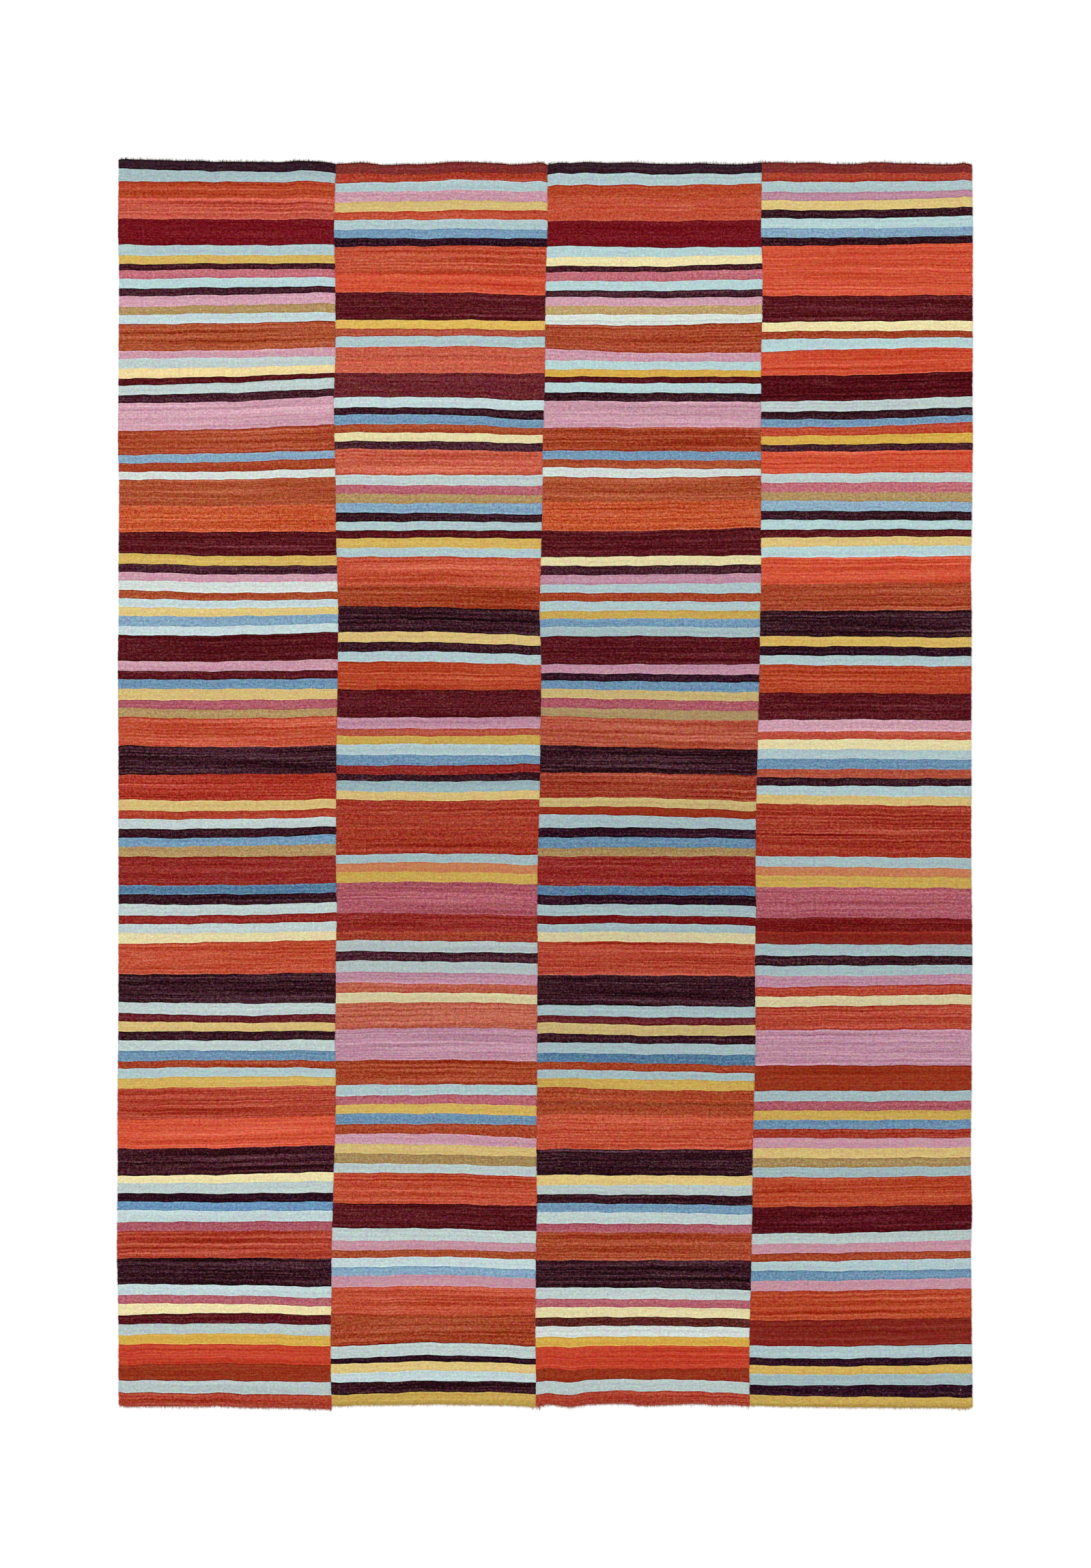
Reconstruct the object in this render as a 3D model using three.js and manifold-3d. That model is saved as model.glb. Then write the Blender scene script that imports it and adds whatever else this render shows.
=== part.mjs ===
// A large flat kilim: four striped strips woven in wool, laid side by side and sewn selvedge to selvedge,
// with the warp cut short along both ends. X runs across the rug, Y along it and Z up, in millimetres.
// The rug lies flat with its underside on Z = 0 and its middle over the origin.

import * as THREE from "three";
import { mergeVertices } from "three/addons/utils/BufferGeometryUtils.js";
import Module from "manifold-3d";

const wasm = await Module();
wasm.setup();

const CLOTH_THICKNESS = 3;
const PIECE_GAP = 0.3; // left open between neighbouring pieces

// The weft turns round the last warp of a strip, which rounds its selvedge above and below.
const SELVEDGE_INSET = 0.9;
const SELVEDGE_ROUND_HEIGHT = 0.8;

// The last picks of each strip are a narrow band that holds the cut warp ends.
const END_BAND_DEPTH = 6;
const END_BAND_BASE = 1; // the band's upper part starts this high, inside the layer of the warp ends
const END_BAND_INSET = 0.2;

// The warp ends stand together in short flat locks.
const LOCKS_IN_A_ROW = 36;
const LOCK_THICKNESS = 2;
const LOCK_ROOT_WIDTH = 2.8;
const LOCK_TIP_WIDTH = 1.3;
const LOCK_SHORTEST = 5;
const LOCK_LONGEST = 8.5;
const LOCK_LEAN = 1.6;
const LOCK_MARGIN = 3.2; // from a selvedge to the middle of the lock beside it
const LONG_TUFT_ROOT_WIDTH = 5;

// X of the outer selvedges and of the seams between strips 1 and 2, 2 and 3, and 3 and 4, down the rug.
const SELVEDGES = [
  { y: 1475, leftSide: -1000.3, seam12: -489.4, seam23: 5.2, seam34: 507.2, rightSide: 999.8 },
  { y: 1400, leftSide: -1000.7, seam12: -493.0, seam23: 4.5, seam34: 506.7, rightSide: 999.6 },
  { y: 1300, leftSide: -1001.9, seam12: -496.0, seam23: 5.0, seam34: 504.8, rightSide: 1001.2 },
  { y: 1200, leftSide: -999.2, seam12: -493.0, seam23: 1.0, seam34: 509.0, rightSide: 1000.8 },
  { y: 1100, leftSide: -999.7, seam12: -492.2, seam23: -0.6, seam34: 508.3, rightSide: 1000.8 },
  { y: 1000, leftSide: -1000.4, seam12: -492.0, seam23: -0.8, seam34: 505.3, rightSide: 1000.8 },
  { y: 900, leftSide: -1000.7, seam12: -496.5, seam23: -2.2, seam34: 505.3, rightSide: 1000.1 },
  { y: 800, leftSide: -1002.0, seam12: -494.4, seam23: -6.8, seam34: 505.2, rightSide: 1001.2 },
  { y: 700, leftSide: -999.2, seam12: -491.7, seam23: -6.6, seam34: 505.5, rightSide: 999.5 },
  { y: 600, leftSide: -999.7, seam12: -491.4, seam23: -8.6, seam34: 504.8, rightSide: 998.7 },
  { y: 500, leftSide: -1000.7, seam12: -488.5, seam23: -11.5, seam34: 505.8, rightSide: 996.2 },
  { y: 400, leftSide: -999.9, seam12: -485.6, seam23: -14.2, seam34: 503.2, rightSide: 998.5 },
  { y: 300, leftSide: -1002.0, seam12: -486.4, seam23: -10.4, seam34: 502.4, rightSide: 998.0 },
  { y: 200, leftSide: -1001.7, seam12: -487.8, seam23: -10.1, seam34: 499.7, rightSide: 998.0 },
  { y: 100, leftSide: -1000.7, seam12: -490.0, seam23: -12.0, seam34: 497.9, rightSide: 997.4 },
  { y: 0, leftSide: -1000.7, seam12: -490.3, seam23: -13.2, seam34: 495.2, rightSide: 998.0 },
  { y: -100, leftSide: -1000.7, seam12: -490.7, seam23: -15.8, seam34: 493.0, rightSide: 997.3 },
  { y: -200, leftSide: -1000.5, seam12: -491.3, seam23: -18.6, seam34: 492.3, rightSide: 997.5 },
  { y: -300, leftSide: -1000.4, seam12: -488.6, seam23: -19.5, seam34: 493.7, rightSide: 998.7 },
  { y: -400, leftSide: -1000.7, seam12: -491.8, seam23: -18.2, seam34: 490.9, rightSide: 1000.0 },
  { y: -500, leftSide: -1000.7, seam12: -491.4, seam23: -19.3, seam34: 491.6, rightSide: 998.8 },
  { y: -600, leftSide: -1001.2, seam12: -493.5, seam23: -19.5, seam34: 492.8, rightSide: 997.8 },
  { y: -700, leftSide: -1002.4, seam12: -491.4, seam23: -19.5, seam34: 490.0, rightSide: 998.5 },
  { y: -800, leftSide: -1003.0, seam12: -492.1, seam23: -21.4, seam34: 487.2, rightSide: 996.8 },
  { y: -900, leftSide: -1002.5, seam12: -496.0, seam23: -21.0, seam34: 485.2, rightSide: 996.0 },
  { y: -1000, leftSide: -1003.3, seam12: -498.8, seam23: -19.8, seam34: 484.8, rightSide: 999.6 },
  { y: -1100, leftSide: -1004.4, seam12: -501.5, seam23: -22.9, seam34: 483.0, rightSide: 996.2 },
  { y: -1200, leftSide: -1001.8, seam12: -501.8, seam23: -23.1, seam34: 480.7, rightSide: 998.0 },
  { y: -1300, leftSide: -1000.4, seam12: -503.9, seam23: -23.5, seam34: 477.9, rightSide: 998.6 },
  { y: -1400, leftSide: -1000.7, seam12: -503.0, seam23: -22.2, seam34: 477.8, rightSide: 1000.0 },
  { y: -1475, leftSide: -1000.0, seam12: -500.4, seam23: -23.4, seam34: 479.2, rightSide: 1000.6 },
];

// Each strip, with where its last pick lies along the top and along the bottom.
const STRIPS = [
  {
    name: "strip_1",
    left: "leftSide",
    right: "seam12",
    top: [
      { x: -1001, y: 1461.5 },
      { x: -982, y: 1463 },
      { x: -965, y: 1461.5 },
      { x: -900, y: 1460.5 },
      { x: -860, y: 1458.5 },
      { x: -800, y: 1458.5 },
      { x: -780, y: 1456 },
      { x: -735, y: 1456.5 },
      { x: -650, y: 1456 },
      { x: -620, y: 1455.2 },
      { x: -580, y: 1459 },
      { x: -530, y: 1457 },
      { x: -510, y: 1455 },
      { x: -491, y: 1451.3 },
    ],
    bottom: [
      { x: -1000, y: -1455 },
      { x: -985, y: -1458.3 },
      { x: -900, y: -1457.8 },
      { x: -800, y: -1458.4 },
      { x: -770, y: -1456.4 },
      { x: -740, y: -1458.5 },
      { x: -700, y: -1460.8 },
      { x: -600, y: -1461.6 },
      { x: -550, y: -1463 },
      { x: -500, y: -1464.8 },
    ],
    longTuft: { end: "bottom", x: -504, length: 7 },
    cloth: 0x9c3a2c,
    topEnds: 0x3a2029,
    bottomEnds: 0xa43a30,
  },
  {
    name: "strip_2",
    left: "seam12",
    right: "seam23",
    top: [
      { x: -491, y: 1451.3 },
      { x: -460, y: 1453 },
      { x: -430, y: 1454.8 },
      { x: -400, y: 1451.5 },
      { x: -380, y: 1448.3 },
      { x: -350, y: 1449 },
      { x: -325, y: 1451.3 },
      { x: -300, y: 1450 },
      { x: -250, y: 1453 },
      { x: -220, y: 1456 },
      { x: -165, y: 1455.5 },
      { x: -100, y: 1452 },
      { x: -80, y: 1449.5 },
      { x: -50, y: 1451 },
      { x: -10, y: 1454.8 },
      { x: 5, y: 1449.5 },
    ],
    bottom: [
      { x: -500, y: -1456 },
      { x: -480, y: -1457.3 },
      { x: -450, y: -1455 },
      { x: -350, y: -1454.6 },
      { x: -250, y: -1452.8 },
      { x: -150, y: -1454.3 },
      { x: -100, y: -1455 },
      { x: -50, y: -1457.3 },
      { x: -24, y: -1460 },
    ],
    longTuft: { end: "bottom", x: -31, length: 8 },
    cloth: 0xa4442c,
    topEnds: 0x87362f,
    bottomEnds: 0xc79a45,
  },
  {
    name: "strip_3",
    left: "seam23",
    right: "seam34",
    top: [
      { x: 5, y: 1449.3 },
      { x: 30, y: 1454.3 },
      { x: 60, y: 1453 },
      { x: 95, y: 1456 },
      { x: 150, y: 1453 },
      { x: 200, y: 1455 },
      { x: 250, y: 1452 },
      { x: 300, y: 1450.8 },
      { x: 360, y: 1453 },
      { x: 400, y: 1451 },
      { x: 450, y: 1450 },
      { x: 480, y: 1452 },
      { x: 507, y: 1454.4 },
    ],
    bottom: [
      { x: -23, y: -1459 },
      { x: -8, y: -1457 },
      { x: 2, y: -1453 },
      { x: 20, y: -1454.3 },
      { x: 45, y: -1458.5 },
      { x: 62, y: -1459.5 },
      { x: 100, y: -1453.5 },
      { x: 150, y: -1452 },
      { x: 200, y: -1452.2 },
      { x: 217, y: -1456 },
      { x: 250, y: -1456 },
      { x: 300, y: -1454.3 },
      { x: 340, y: -1452 },
      { x: 370, y: -1452.2 },
      { x: 390, y: -1455.5 },
      { x: 430, y: -1453.5 },
      { x: 479, y: -1458 },
    ],
    longTuft: { end: "bottom", x: -13, length: 11 },
    cloth: 0x9a3828,
    topEnds: 0x3c2029,
    bottomEnds: 0xa93a2b,
  },
  {
    name: "strip_4",
    left: "seam34",
    right: "rightSide",
    top: [
      { x: 507, y: 1454.4 },
      { x: 550, y: 1455 },
      { x: 580, y: 1453 },
      { x: 620, y: 1454.5 },
      { x: 650, y: 1453.3 },
      { x: 675, y: 1450.8 },
      { x: 730, y: 1450.8 },
      { x: 760, y: 1455 },
      { x: 790, y: 1455 },
      { x: 820, y: 1452.8 },
      { x: 900, y: 1451.2 },
      { x: 930, y: 1449.8 },
      { x: 960, y: 1450.6 },
      { x: 980, y: 1453.6 },
      { x: 1000, y: 1449.6 },
    ],
    bottom: [
      { x: 479, y: -1455.3 },
      { x: 530, y: -1457.5 },
      { x: 600, y: -1458.4 },
      { x: 700, y: -1460 },
      { x: 800, y: -1460.3 },
      { x: 900, y: -1460.8 },
      { x: 950, y: -1461.6 },
      { x: 985, y: -1463 },
      { x: 1001, y: -1460.5 },
    ],
    longTuft: { end: "bottom", x: 992, length: 7 },
    cloth: 0xa6472d,
    topEnds: 0x85322d,
    bottomEnds: 0xc39a4a,
  },
];

// The value of a table's column at a place, on straight lines between its rows.
function readAt(rows, placeColumn, valueColumn, place) {
  const ordered = [...rows].sort((a, b) => a[placeColumn] - b[placeColumn]);
  const found = ordered.findIndex((row) => row[placeColumn] >= place);
  const next = found < 0 ? ordered.length - 1 : Math.max(found, 1);
  const low = ordered[next - 1];
  const high = ordered[next];
  const share = (place - low[placeColumn]) / (high[placeColumn] - low[placeColumn]);
  return THREE.MathUtils.lerp(low[valueColumn], high[valueColumn], THREE.MathUtils.clamp(share, 0, 1));
}

// The X of a strip's own side at a height along the rug, half a gap in from the line that it shares.
function sideAt(strip, side, y) {
  const inward = side === "left" ? PIECE_GAP / 2 : -PIECE_GAP / 2;
  return readAt(SELVEDGES, "y", strip[side], y) + inward;
}

// A line across a strip from selvedge to selvedge, along its end or some way in from it.
function acrossStrip(strip, end, inward) {
  const edge = strip[end];
  const inner = end === "top" ? -inward : inward;
  const first = edge[0];
  const last = edge[edge.length - 1];
  const left = new THREE.Vector2(sideAt(strip, "left", first.y + inner), first.y + inner);
  const right = new THREE.Vector2(sideAt(strip, "right", last.y + inner), last.y + inner);
  const between = edge
    .filter((row) => row.x > left.x + 1 && row.x < right.x - 1)
    .map((row) => new THREE.Vector2(row.x, row.y + inner));
  return [left, ...between, right];
}

// A closed body from one outline drawn at several heights, each ring with as many points as the last.
function stackedRings(rings) {
  const count = rings[0].points.length;
  const positions = rings.flatMap((ring) => ring.points.flatMap((point) => [point.x, point.y, ring.z]));
  const indices = [];
  for (let level = 0; level + 1 < rings.length; level++) {
    for (let i = 0; i < count; i++) {
      const here = level * count + i;
      const next = level * count + ((i + 1) % count);
      indices.push(here, next, next + count, here, next + count, here + count);
    }
  }
  const topStart = (rings.length - 1) * count;
  for (const [a, b, c] of THREE.ShapeUtils.triangulateShape(rings[0].points, [])) {
    indices.push(c, b, a);
    indices.push(topStart + a, topStart + b, topStart + c);
  }
  const geometry = new THREE.BufferGeometry();
  geometry.setAttribute("position", new THREE.Float32BufferAttribute(positions, 3));
  geometry.setIndex(indices);
  return geometry;
}

// The woven length of a strip, between its two end bands.
function wovenStrip(strip) {
  const inward = END_BAND_DEPTH + PIECE_GAP;
  const bottom = acrossStrip(strip, "bottom", inward);
  const top = acrossStrip(strip, "top", inward);
  const side = (name, from, to) =>
    SELVEDGES.filter((row) => row.y > from + 1 && row.y < to - 1)
      .map((row) => new THREE.Vector2(sideAt(strip, name, row.y), row.y))
      .sort((a, b) => a.y - b.y);
  const right = side("right", bottom[bottom.length - 1].y, top[top.length - 1].y);
  const left = side("left", bottom[0].y, top[0].y);
  const outline = [...bottom, ...right, ...top.reverse(), ...left.reverse()];
  const onLeft = new Set([bottom[0], top[top.length - 1], ...left]);
  const onRight = new Set([bottom[bottom.length - 1], top[0], ...right]);
  const inset = outline.map((point) => {
    const shift = onLeft.has(point) ? SELVEDGE_INSET : onRight.has(point) ? -SELVEDGE_INSET : 0;
    return new THREE.Vector2(point.x + shift, point.y);
  });
  return stackedRings([
    { z: 0, points: inset },
    { z: SELVEDGE_ROUND_HEIGHT, points: outline },
    { z: CLOTH_THICKNESS - SELVEDGE_ROUND_HEIGHT, points: outline },
    { z: CLOTH_THICKNESS, points: inset },
  ]);
}

// A repeatable unevenness from 0 to 1 for the numbered lock of a row.
function unevenness(row, lock, salt) {
  const wave = Math.sin(row * 12.9898 + lock * 78.233 + salt * 37.719) * 43758.5453;
  return wave - Math.floor(wave);
}

// The outer side of an end band, with its locks of cut warp standing out, from left to right.
function lockedEdge(strip, end, rowNumber) {
  const outward = end === "top" ? 1 : -1;
  const edge = acrossStrip(strip, end, 0);
  const from = edge[0].x + LOCK_MARGIN;
  const to = edge[edge.length - 1].x - LOCK_MARGIN;
  const pitch = (to - from) / (LOCKS_IN_A_ROW - 1);
  const edgeAt = (x) => readAt(edge, "x", "y", x);
  const points = [edge[0]];
  for (let lock = 0; lock < LOCKS_IN_A_ROW; lock++) {
    const even = from + lock * pitch;
    const isLong = strip.longTuft.end === end && Math.abs(strip.longTuft.x - even) <= pitch / 2;
    const atSelvedge = lock === 0 || lock === LOCKS_IN_A_ROW - 1;
    const x = isLong ? strip.longTuft.x : even;
    const rootWidth = isLong ? LONG_TUFT_ROOT_WIDTH : LOCK_ROOT_WIDTH;
    const evenLength = THREE.MathUtils.lerp(LOCK_SHORTEST, LOCK_LONGEST, unevenness(rowNumber, lock, 1));
    const length = isLong ? strip.longTuft.length : evenLength;
    const lean = atSelvedge || isLong ? 0 : (unevenness(rowNumber, lock, 2) * 2 - 1) * LOCK_LEAN;
    const tipY = edgeAt(x) + outward * length;
    points.push(
      new THREE.Vector2(x - rootWidth / 2, edgeAt(x - rootWidth / 2)),
      new THREE.Vector2(x - LOCK_TIP_WIDTH / 2 + lean, tipY),
      new THREE.Vector2(x + LOCK_TIP_WIDTH / 2 + lean, tipY),
      new THREE.Vector2(x + rootWidth / 2, edgeAt(x + rootWidth / 2)),
    );
  }
  points.push(edge[edge.length - 1]);
  return points;
}

// A flat body of one outline between two heights.
function slab(points, base, thickness) {
  const geometry = new THREE.ExtrudeGeometry(new THREE.Shape(points), { depth: thickness, bevelEnabled: false });
  return geometry.translate(0, 0, base);
}

function asManifold(geometry) {
  const bare = geometry.clone();
  bare.deleteAttribute("normal");
  bare.deleteAttribute("uv");
  const merged = mergeVertices(bare);
  return new wasm.Manifold(
    new wasm.Mesh({
      numProp: 3,
      vertProperties: new Float32Array(merged.attributes.position.array),
      triVerts: new Uint32Array(merged.index.array),
    }),
  );
}

function fused(first, second) {
  const mesh = asManifold(first).add(asManifold(second)).getMesh();
  const geometry = new THREE.BufferGeometry();
  geometry.setAttribute("position", new THREE.BufferAttribute(mesh.vertProperties, 3));
  geometry.setIndex(new THREE.BufferAttribute(mesh.triVerts, 1));
  return geometry;
}

// The last picks of a strip at one end, with the locks of cut warp fused into them.
function endBand(strip, end, rowNumber) {
  const outward = end === "top" ? 1 : -1;
  const locks = lockedEdge(strip, end, rowNumber);
  const inner = acrossStrip(strip, end, END_BAND_DEPTH);
  const comb = slab([...locks, ...inner.reverse()], 0, LOCK_THICKNESS);
  const insetBand = (depth) =>
    acrossStrip(strip, end, depth).map((point, index, line) => {
      const sideways = index === 0 ? END_BAND_INSET : index === line.length - 1 ? -END_BAND_INSET : 0;
      return new THREE.Vector2(point.x + sideways, point.y);
    });
  const outer = insetBand(END_BAND_INSET);
  const innermost = insetBand(END_BAND_DEPTH - END_BAND_INSET).reverse();
  const band = slab([...outer, ...innermost], END_BAND_BASE, CLOTH_THICKNESS - END_BAND_BASE);
  return fused(comb, band);
}

function wool(color) {
  return new THREE.MeshStandardMaterial({ color, roughness: 0.95, metalness: 0, flatShading: true });
}

const rug = new THREE.Group();

function addPiece(name, geometry, color) {
  geometry.computeVertexNormals();
  const mesh = new THREE.Mesh(geometry, wool(color));
  mesh.name = name;
  rug.add(mesh);
}

STRIPS.forEach((strip, index) => {
  addPiece(strip.name, wovenStrip(strip), strip.cloth);
  addPiece(`${strip.name}_top_ends`, endBand(strip, "top", 2 * index), strip.topEnds);
  addPiece(`${strip.name}_bottom_ends`, endBand(strip, "bottom", 2 * index + 1), strip.bottomEnds);
});

// The pieces are drawn about the rug's rough middle, and the whole is moved to its exact one.
const reach = new THREE.Box3().setFromObject(rug);
const middle = reach.getCenter(new THREE.Vector3());
rug.position.set(-middle.x, -middle.y, -reach.min.z);
rug.updateMatrixWorld(true);

export default rug;
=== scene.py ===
# A flat striped kilim: four strips woven in wool, sewn selvedge to selvedge, seen from straight above.
# Metres, in the frame's own axes: X across the rug, Y along it, Z up out of the walking face.

import math
import random

import bpy
import numpy as np
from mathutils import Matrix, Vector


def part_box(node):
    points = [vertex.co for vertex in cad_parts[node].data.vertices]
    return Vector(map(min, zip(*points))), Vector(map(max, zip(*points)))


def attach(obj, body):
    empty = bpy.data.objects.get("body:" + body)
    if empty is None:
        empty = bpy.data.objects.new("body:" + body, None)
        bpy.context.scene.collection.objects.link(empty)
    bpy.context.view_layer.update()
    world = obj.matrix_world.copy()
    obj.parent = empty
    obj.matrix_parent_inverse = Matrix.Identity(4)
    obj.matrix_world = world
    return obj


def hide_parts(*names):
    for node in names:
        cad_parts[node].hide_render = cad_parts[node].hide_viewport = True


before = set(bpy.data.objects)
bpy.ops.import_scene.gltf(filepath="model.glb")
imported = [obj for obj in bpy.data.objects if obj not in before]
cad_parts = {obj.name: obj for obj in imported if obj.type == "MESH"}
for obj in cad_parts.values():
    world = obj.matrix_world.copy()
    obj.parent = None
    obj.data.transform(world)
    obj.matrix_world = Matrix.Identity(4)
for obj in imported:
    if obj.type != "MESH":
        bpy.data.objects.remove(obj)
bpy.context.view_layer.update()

MM = 0.001

# The camera hangs over the rug's middle and takes in a floor of 1598 by 2296 pixels at 1.6 mm each.
PIXEL = 1.6 * MM
PIXELS_HIGH = 2296
CAMERA_OVER = (1.6 * MM, -0.66 * MM)
LENS = 85.0
SENSOR = 36.0

# The floor and the studio's light.
FLOOR_SIZE = 24
FLOOR_BELOW = 0.4 * MM      # under the rug
FLOOR_WHITE = (0.96, 0.96, 0.96, 1)
STUDIO_WHITE = (1, 1, 1, 1)
STUDIO_LIGHT = 0.72
KEY_LIGHT = {"place": (-9.0, 6.0, 9.5), "size": 5.0, "power": 941}
FILL_LIGHT = {"place": (9.0, -6.0, 9.5), "size": 6.0, "power": 405}

# The cloth.
THICKNESS = 3.0 * MM
WARP_PITCH = 3.2 * MM
PICK_PITCH = 1.1 * MM
RIB_RELIEF = 0.32 * MM
TOOTH = 0.5 * MM            # how far a colour change steps up and down from warp to warp
EDGE_INSET = 0.9 * MM       # of the face's first and last columns, beside the selvedge cords
COARSE = 8                  # the underside has one column for so many on the face
LONGEST_ROW = 17.0 * MM     # of the rows of faces that a stripe is built in
SWELL = 0.18 * MM           # the cloth lies a little higher and lower in long slow waves
SWELL_ACROSS = 0.31
SWELL_ALONG = 0.43

# How a strip's outline is read from the frame's woven node.
RIM = (0.2, 0.8)            # the rim's points lie between these shares of the thickness
NEAR_FELL = 40 * MM         # and belong to the fell when they are this near an end
END_BAND = 6.9 * MM         # the node stops so far short of the last pick
HELD_PAST = 12 * MM         # a stripe's line runs on level from so far past its outer marks

# The cord that the weft turns round along each selvedge.
CORD_RADIUS = 1.45 * MM
CORD_TURN = 2.8 * MM        # from one turn of the weft to the next
CORD_SIDES = 6
CORD_REACH = 0.55 * MM      # past the woven edge, to press against the next strip's cord
CORD_CREST = (0.94, 1.0)    # shares of the radius on a turn, between two turns and at the ends
CORD_NECK = 0.84
CORD_TIP = 0.5
# Painted shade: the cords are drawn a little darker than their stripe's yarn.
CORD_SHADE = 0.96
RIB_TURN = 0.25             # of a rib, so that a rib's crest runs along the cord's top

# A stripe's first and last picks, which lock into the next colour.
END_PICKS = 3.0 * MM
END_CONTRAST = 0.26         # how much they stand out beside a darker or lighter stripe
END_STEEPNESS = 1.9
DARKEST_END = -0.14
LIGHTEST_END = 0.055
TOP_FELL_SHADE = -0.13       # painted shade at the top fell: the very last picks at the top are darkest

# The relief of the weave, as the light shows it.
RIB_ROUNDNESS = 0.6
PICK_SHARE = 0.45           # of a rib's height, that comes and goes with the picks
FUZZ_SHARE = 0.5            # how high the fibre stands beside a rib
CLOTH_BUMP = 0.30 * MM
CORD_BUMP = 0.20 * MM
HAIR_BUMP = 0.05 * MM

# The dye, and the dots of rubbed tips and painted sheen. Each of its tones changes so often for each warp
# across and for each metre down. The third number takes it from its own depth of the noise, and the fourth is
# the noise's detail.
LINE_NOISE = (0.006, 235.0, 1.0, 1.0)
BAND_NOISE = (0.004, 95.0, 7.0, 2.0)
FIBRE_NOISE = (0.46, 200.0, 5.0, 1.0)
FLUFF_NOISE = (1.10, 290.0, 41.0, 0.0)
MOTTLE_NOISE = (0.24, 170.0, 23.0, 1.0)
DASH_NOISE = (0.035, 300.0, 13.0, 1.0)
WORN_AND_SHEEN_NOISE = (0.035, 50.0, 17.0, 2.0)
NOISE_ROUGHNESS = 0.6
UNDER_SEED = 4              # the underside and the cords have streaks and flecks of their own
CORD_SEED = 9

# How strong the tones are, in shares of the brightness that the eye sees, from 0 to 1.
EYE_GAMMA = 2.2
LINE_TONE = 0.40            # single picks that are lighter or darker
BAND_TONE = 0.28            # a few picks together
FIBRE_TONE = 0.30
FLUFF_TONE = 0.21
HUE_TONE = 0.15
# Painted shade in the grooves between the ribs.
RIB_GROOVE_SHADE = 0.08
MEAN_GROOVE = 0.28          # of the weave, so that the painted shade of the ribs leaves the mean tone as it is
DARKEST_TONE = 0.01
FULLY_STREAKED = 45 * MM    # a stripe this high shows all its streaks, and a narrower one fewer
LEAST_STREAKED = 0.4

# The rubbed tips of dyed fibres and painted sheen of fibres that catch the light, in dots that gather in
# dashes along a pick and in rubbed patches.
RUBBED_AND_SHEEN_WOOL = (0.93, 0.72, 0.70)
FLECK_HEIGHT = 2.2 * MM
DASH_REACH = 4.2
WORN_AND_SHEEN_REACH = 1.8
RAREST_FLECK = 0.85
FLECK_STEEPNESS = 1.3

# From a yarn as it is named to the colour that gives it in this light.
FULL_TONE = 255
LIGHT_ON_CLOTH = 1.12
FUZZ_LIFT = 0.006           # what the fibres' own shine, and the rubbed tips and painted sheen in dots, add to a yarn's tone
DARKEST_YARN = 0.001

# The map that the cloth is laid on, in shares of the map.
BAKE_COLUMNS = 3            # the long cloth lies in so many lengths side by side
FACE_ON_MAP = (0.36, 0.62)  # where it starts and how tall it is
UNDERSIDE_ON_MAP = (0.01, 0.32)
MAP_MARGIN = 0.006          # beside each length
MAP_SPARE = 0.03            # above and below it
FELL_ON_MAP = 0.004

# The cut ends of the warp: a short thick stub and a few thin hairs for each warp.
HAIR_STEPS = 3
HAIR_REST = 0.45 * MM       # a hair's tip lies so high over the floor
HAIR_TAPER = 0.75           # share of its width that it loses towards the tip
LEAN_CURVE = 1.5            # how late a hair leans aside
SINK_CURVE = 2              # and how late it sinks
ROOT_DEPTH = 2.2 * MM       # inside the cloth
WARP_WOOL = (246, 236, 208)     # undyed, as the cut warp shows at the top end
HAIRS_AT_TOP = 2            # from each warp
HAIRS_AT_BOTTOM = 3
HAIR_STRAY = 0.35           # shares of the warp's pitch to each side of the warp
HAIR_LENGTH = (2.0 * MM, 6.5 * MM)
HAIR_WIDTH = (0.5 * MM, 0.9 * MM)
HAIR_LEAN = 0.35            # shares of its length to either side
HAIR_HEIGHT = (0.5, 0.75)   # shares of the thickness at which it leaves the cloth
PLAIN_AT_TOP = 0.72         # share of the hairs that show undyed warp
PLAIN_AT_BOTTOM = 0.25
PLAIN_TONE = (0.9, 1.1)
DYED_TONE = (0.9, 1.25)
MOST_FADED = 0.35           # towards undyed wool, of a dyed hair
STUB_STRAY = 0.3
STUB_LENGTH = (0.6 * MM, 4.4 * MM)
STUB_WIDTH = (1.5 * MM, 2.8 * MM)
STUB_HEIGHT = 0.6
DARK_STUBS = (0.5, 0.9)     # the stubs' and loose hairs' share of the end stripe's tone, at the top
SOFT_STUBS = (0.9, 1.15)    # and at the bottom end

# The longer loose hairs of the last picks, and the tufts.
LOOSE_HAIRS = 80            # along one end of a strip
LOOSE_HAIR_LENGTH = (3.0 * MM, 10.0 * MM)
LOOSE_HAIR_WIDTH = 0.75 * MM
LOOSE_HAIR_LEAN = 0.2
GROUPS_OF_HAIRS = 9
GROUP_WIDTH = 14 * MM
SHARE_IN_GROUPS = 0.6
TUFT_HAIRS = 10
TUFT_WIDTH = 7 * MM
TUFT_LEAN = (0.5, 0.9)      # shares of the way to the tuft's middle
TUFT_LENGTH = (0.7, 1.0)    # shares of its reach
TUFT_HEIGHT = (0.4, 0.8)    # shares of the thickness
TUFT_HAIR_WIDTH = 0.5 * MM
TUFT_TONE = (0.9, 1.6)

# The sewing of the seams and the lint on the face.
STITCH_PITCH = 9 * MM
STITCH_STRAY = 0.5 * MM     # from an even pitch
STITCH_REACH = 1.3 * MM     # to each side of the seam
STITCH_SLANT = 0.4
STITCH_HEIGHT = 2.75 * MM
STITCH_SAG = 0.3 * MM       # in the valley between the two cords
STITCH_WIDTH = 0.45 * MM
STITCH_TONE = (0.8, 1.2)
LINT_WIDTH = 0.7 * MM
LINT_SCATTER = 40           # degrees to either side, of the hairs of one bit
LINT_BOW = 0.12             # of a hair's length
LINT_POINTS = (-0.5, -0.17, 0.17, 0.5)      # along a hair, in shares of its length
LINT_TONE = (0.85, 1.05)

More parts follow.
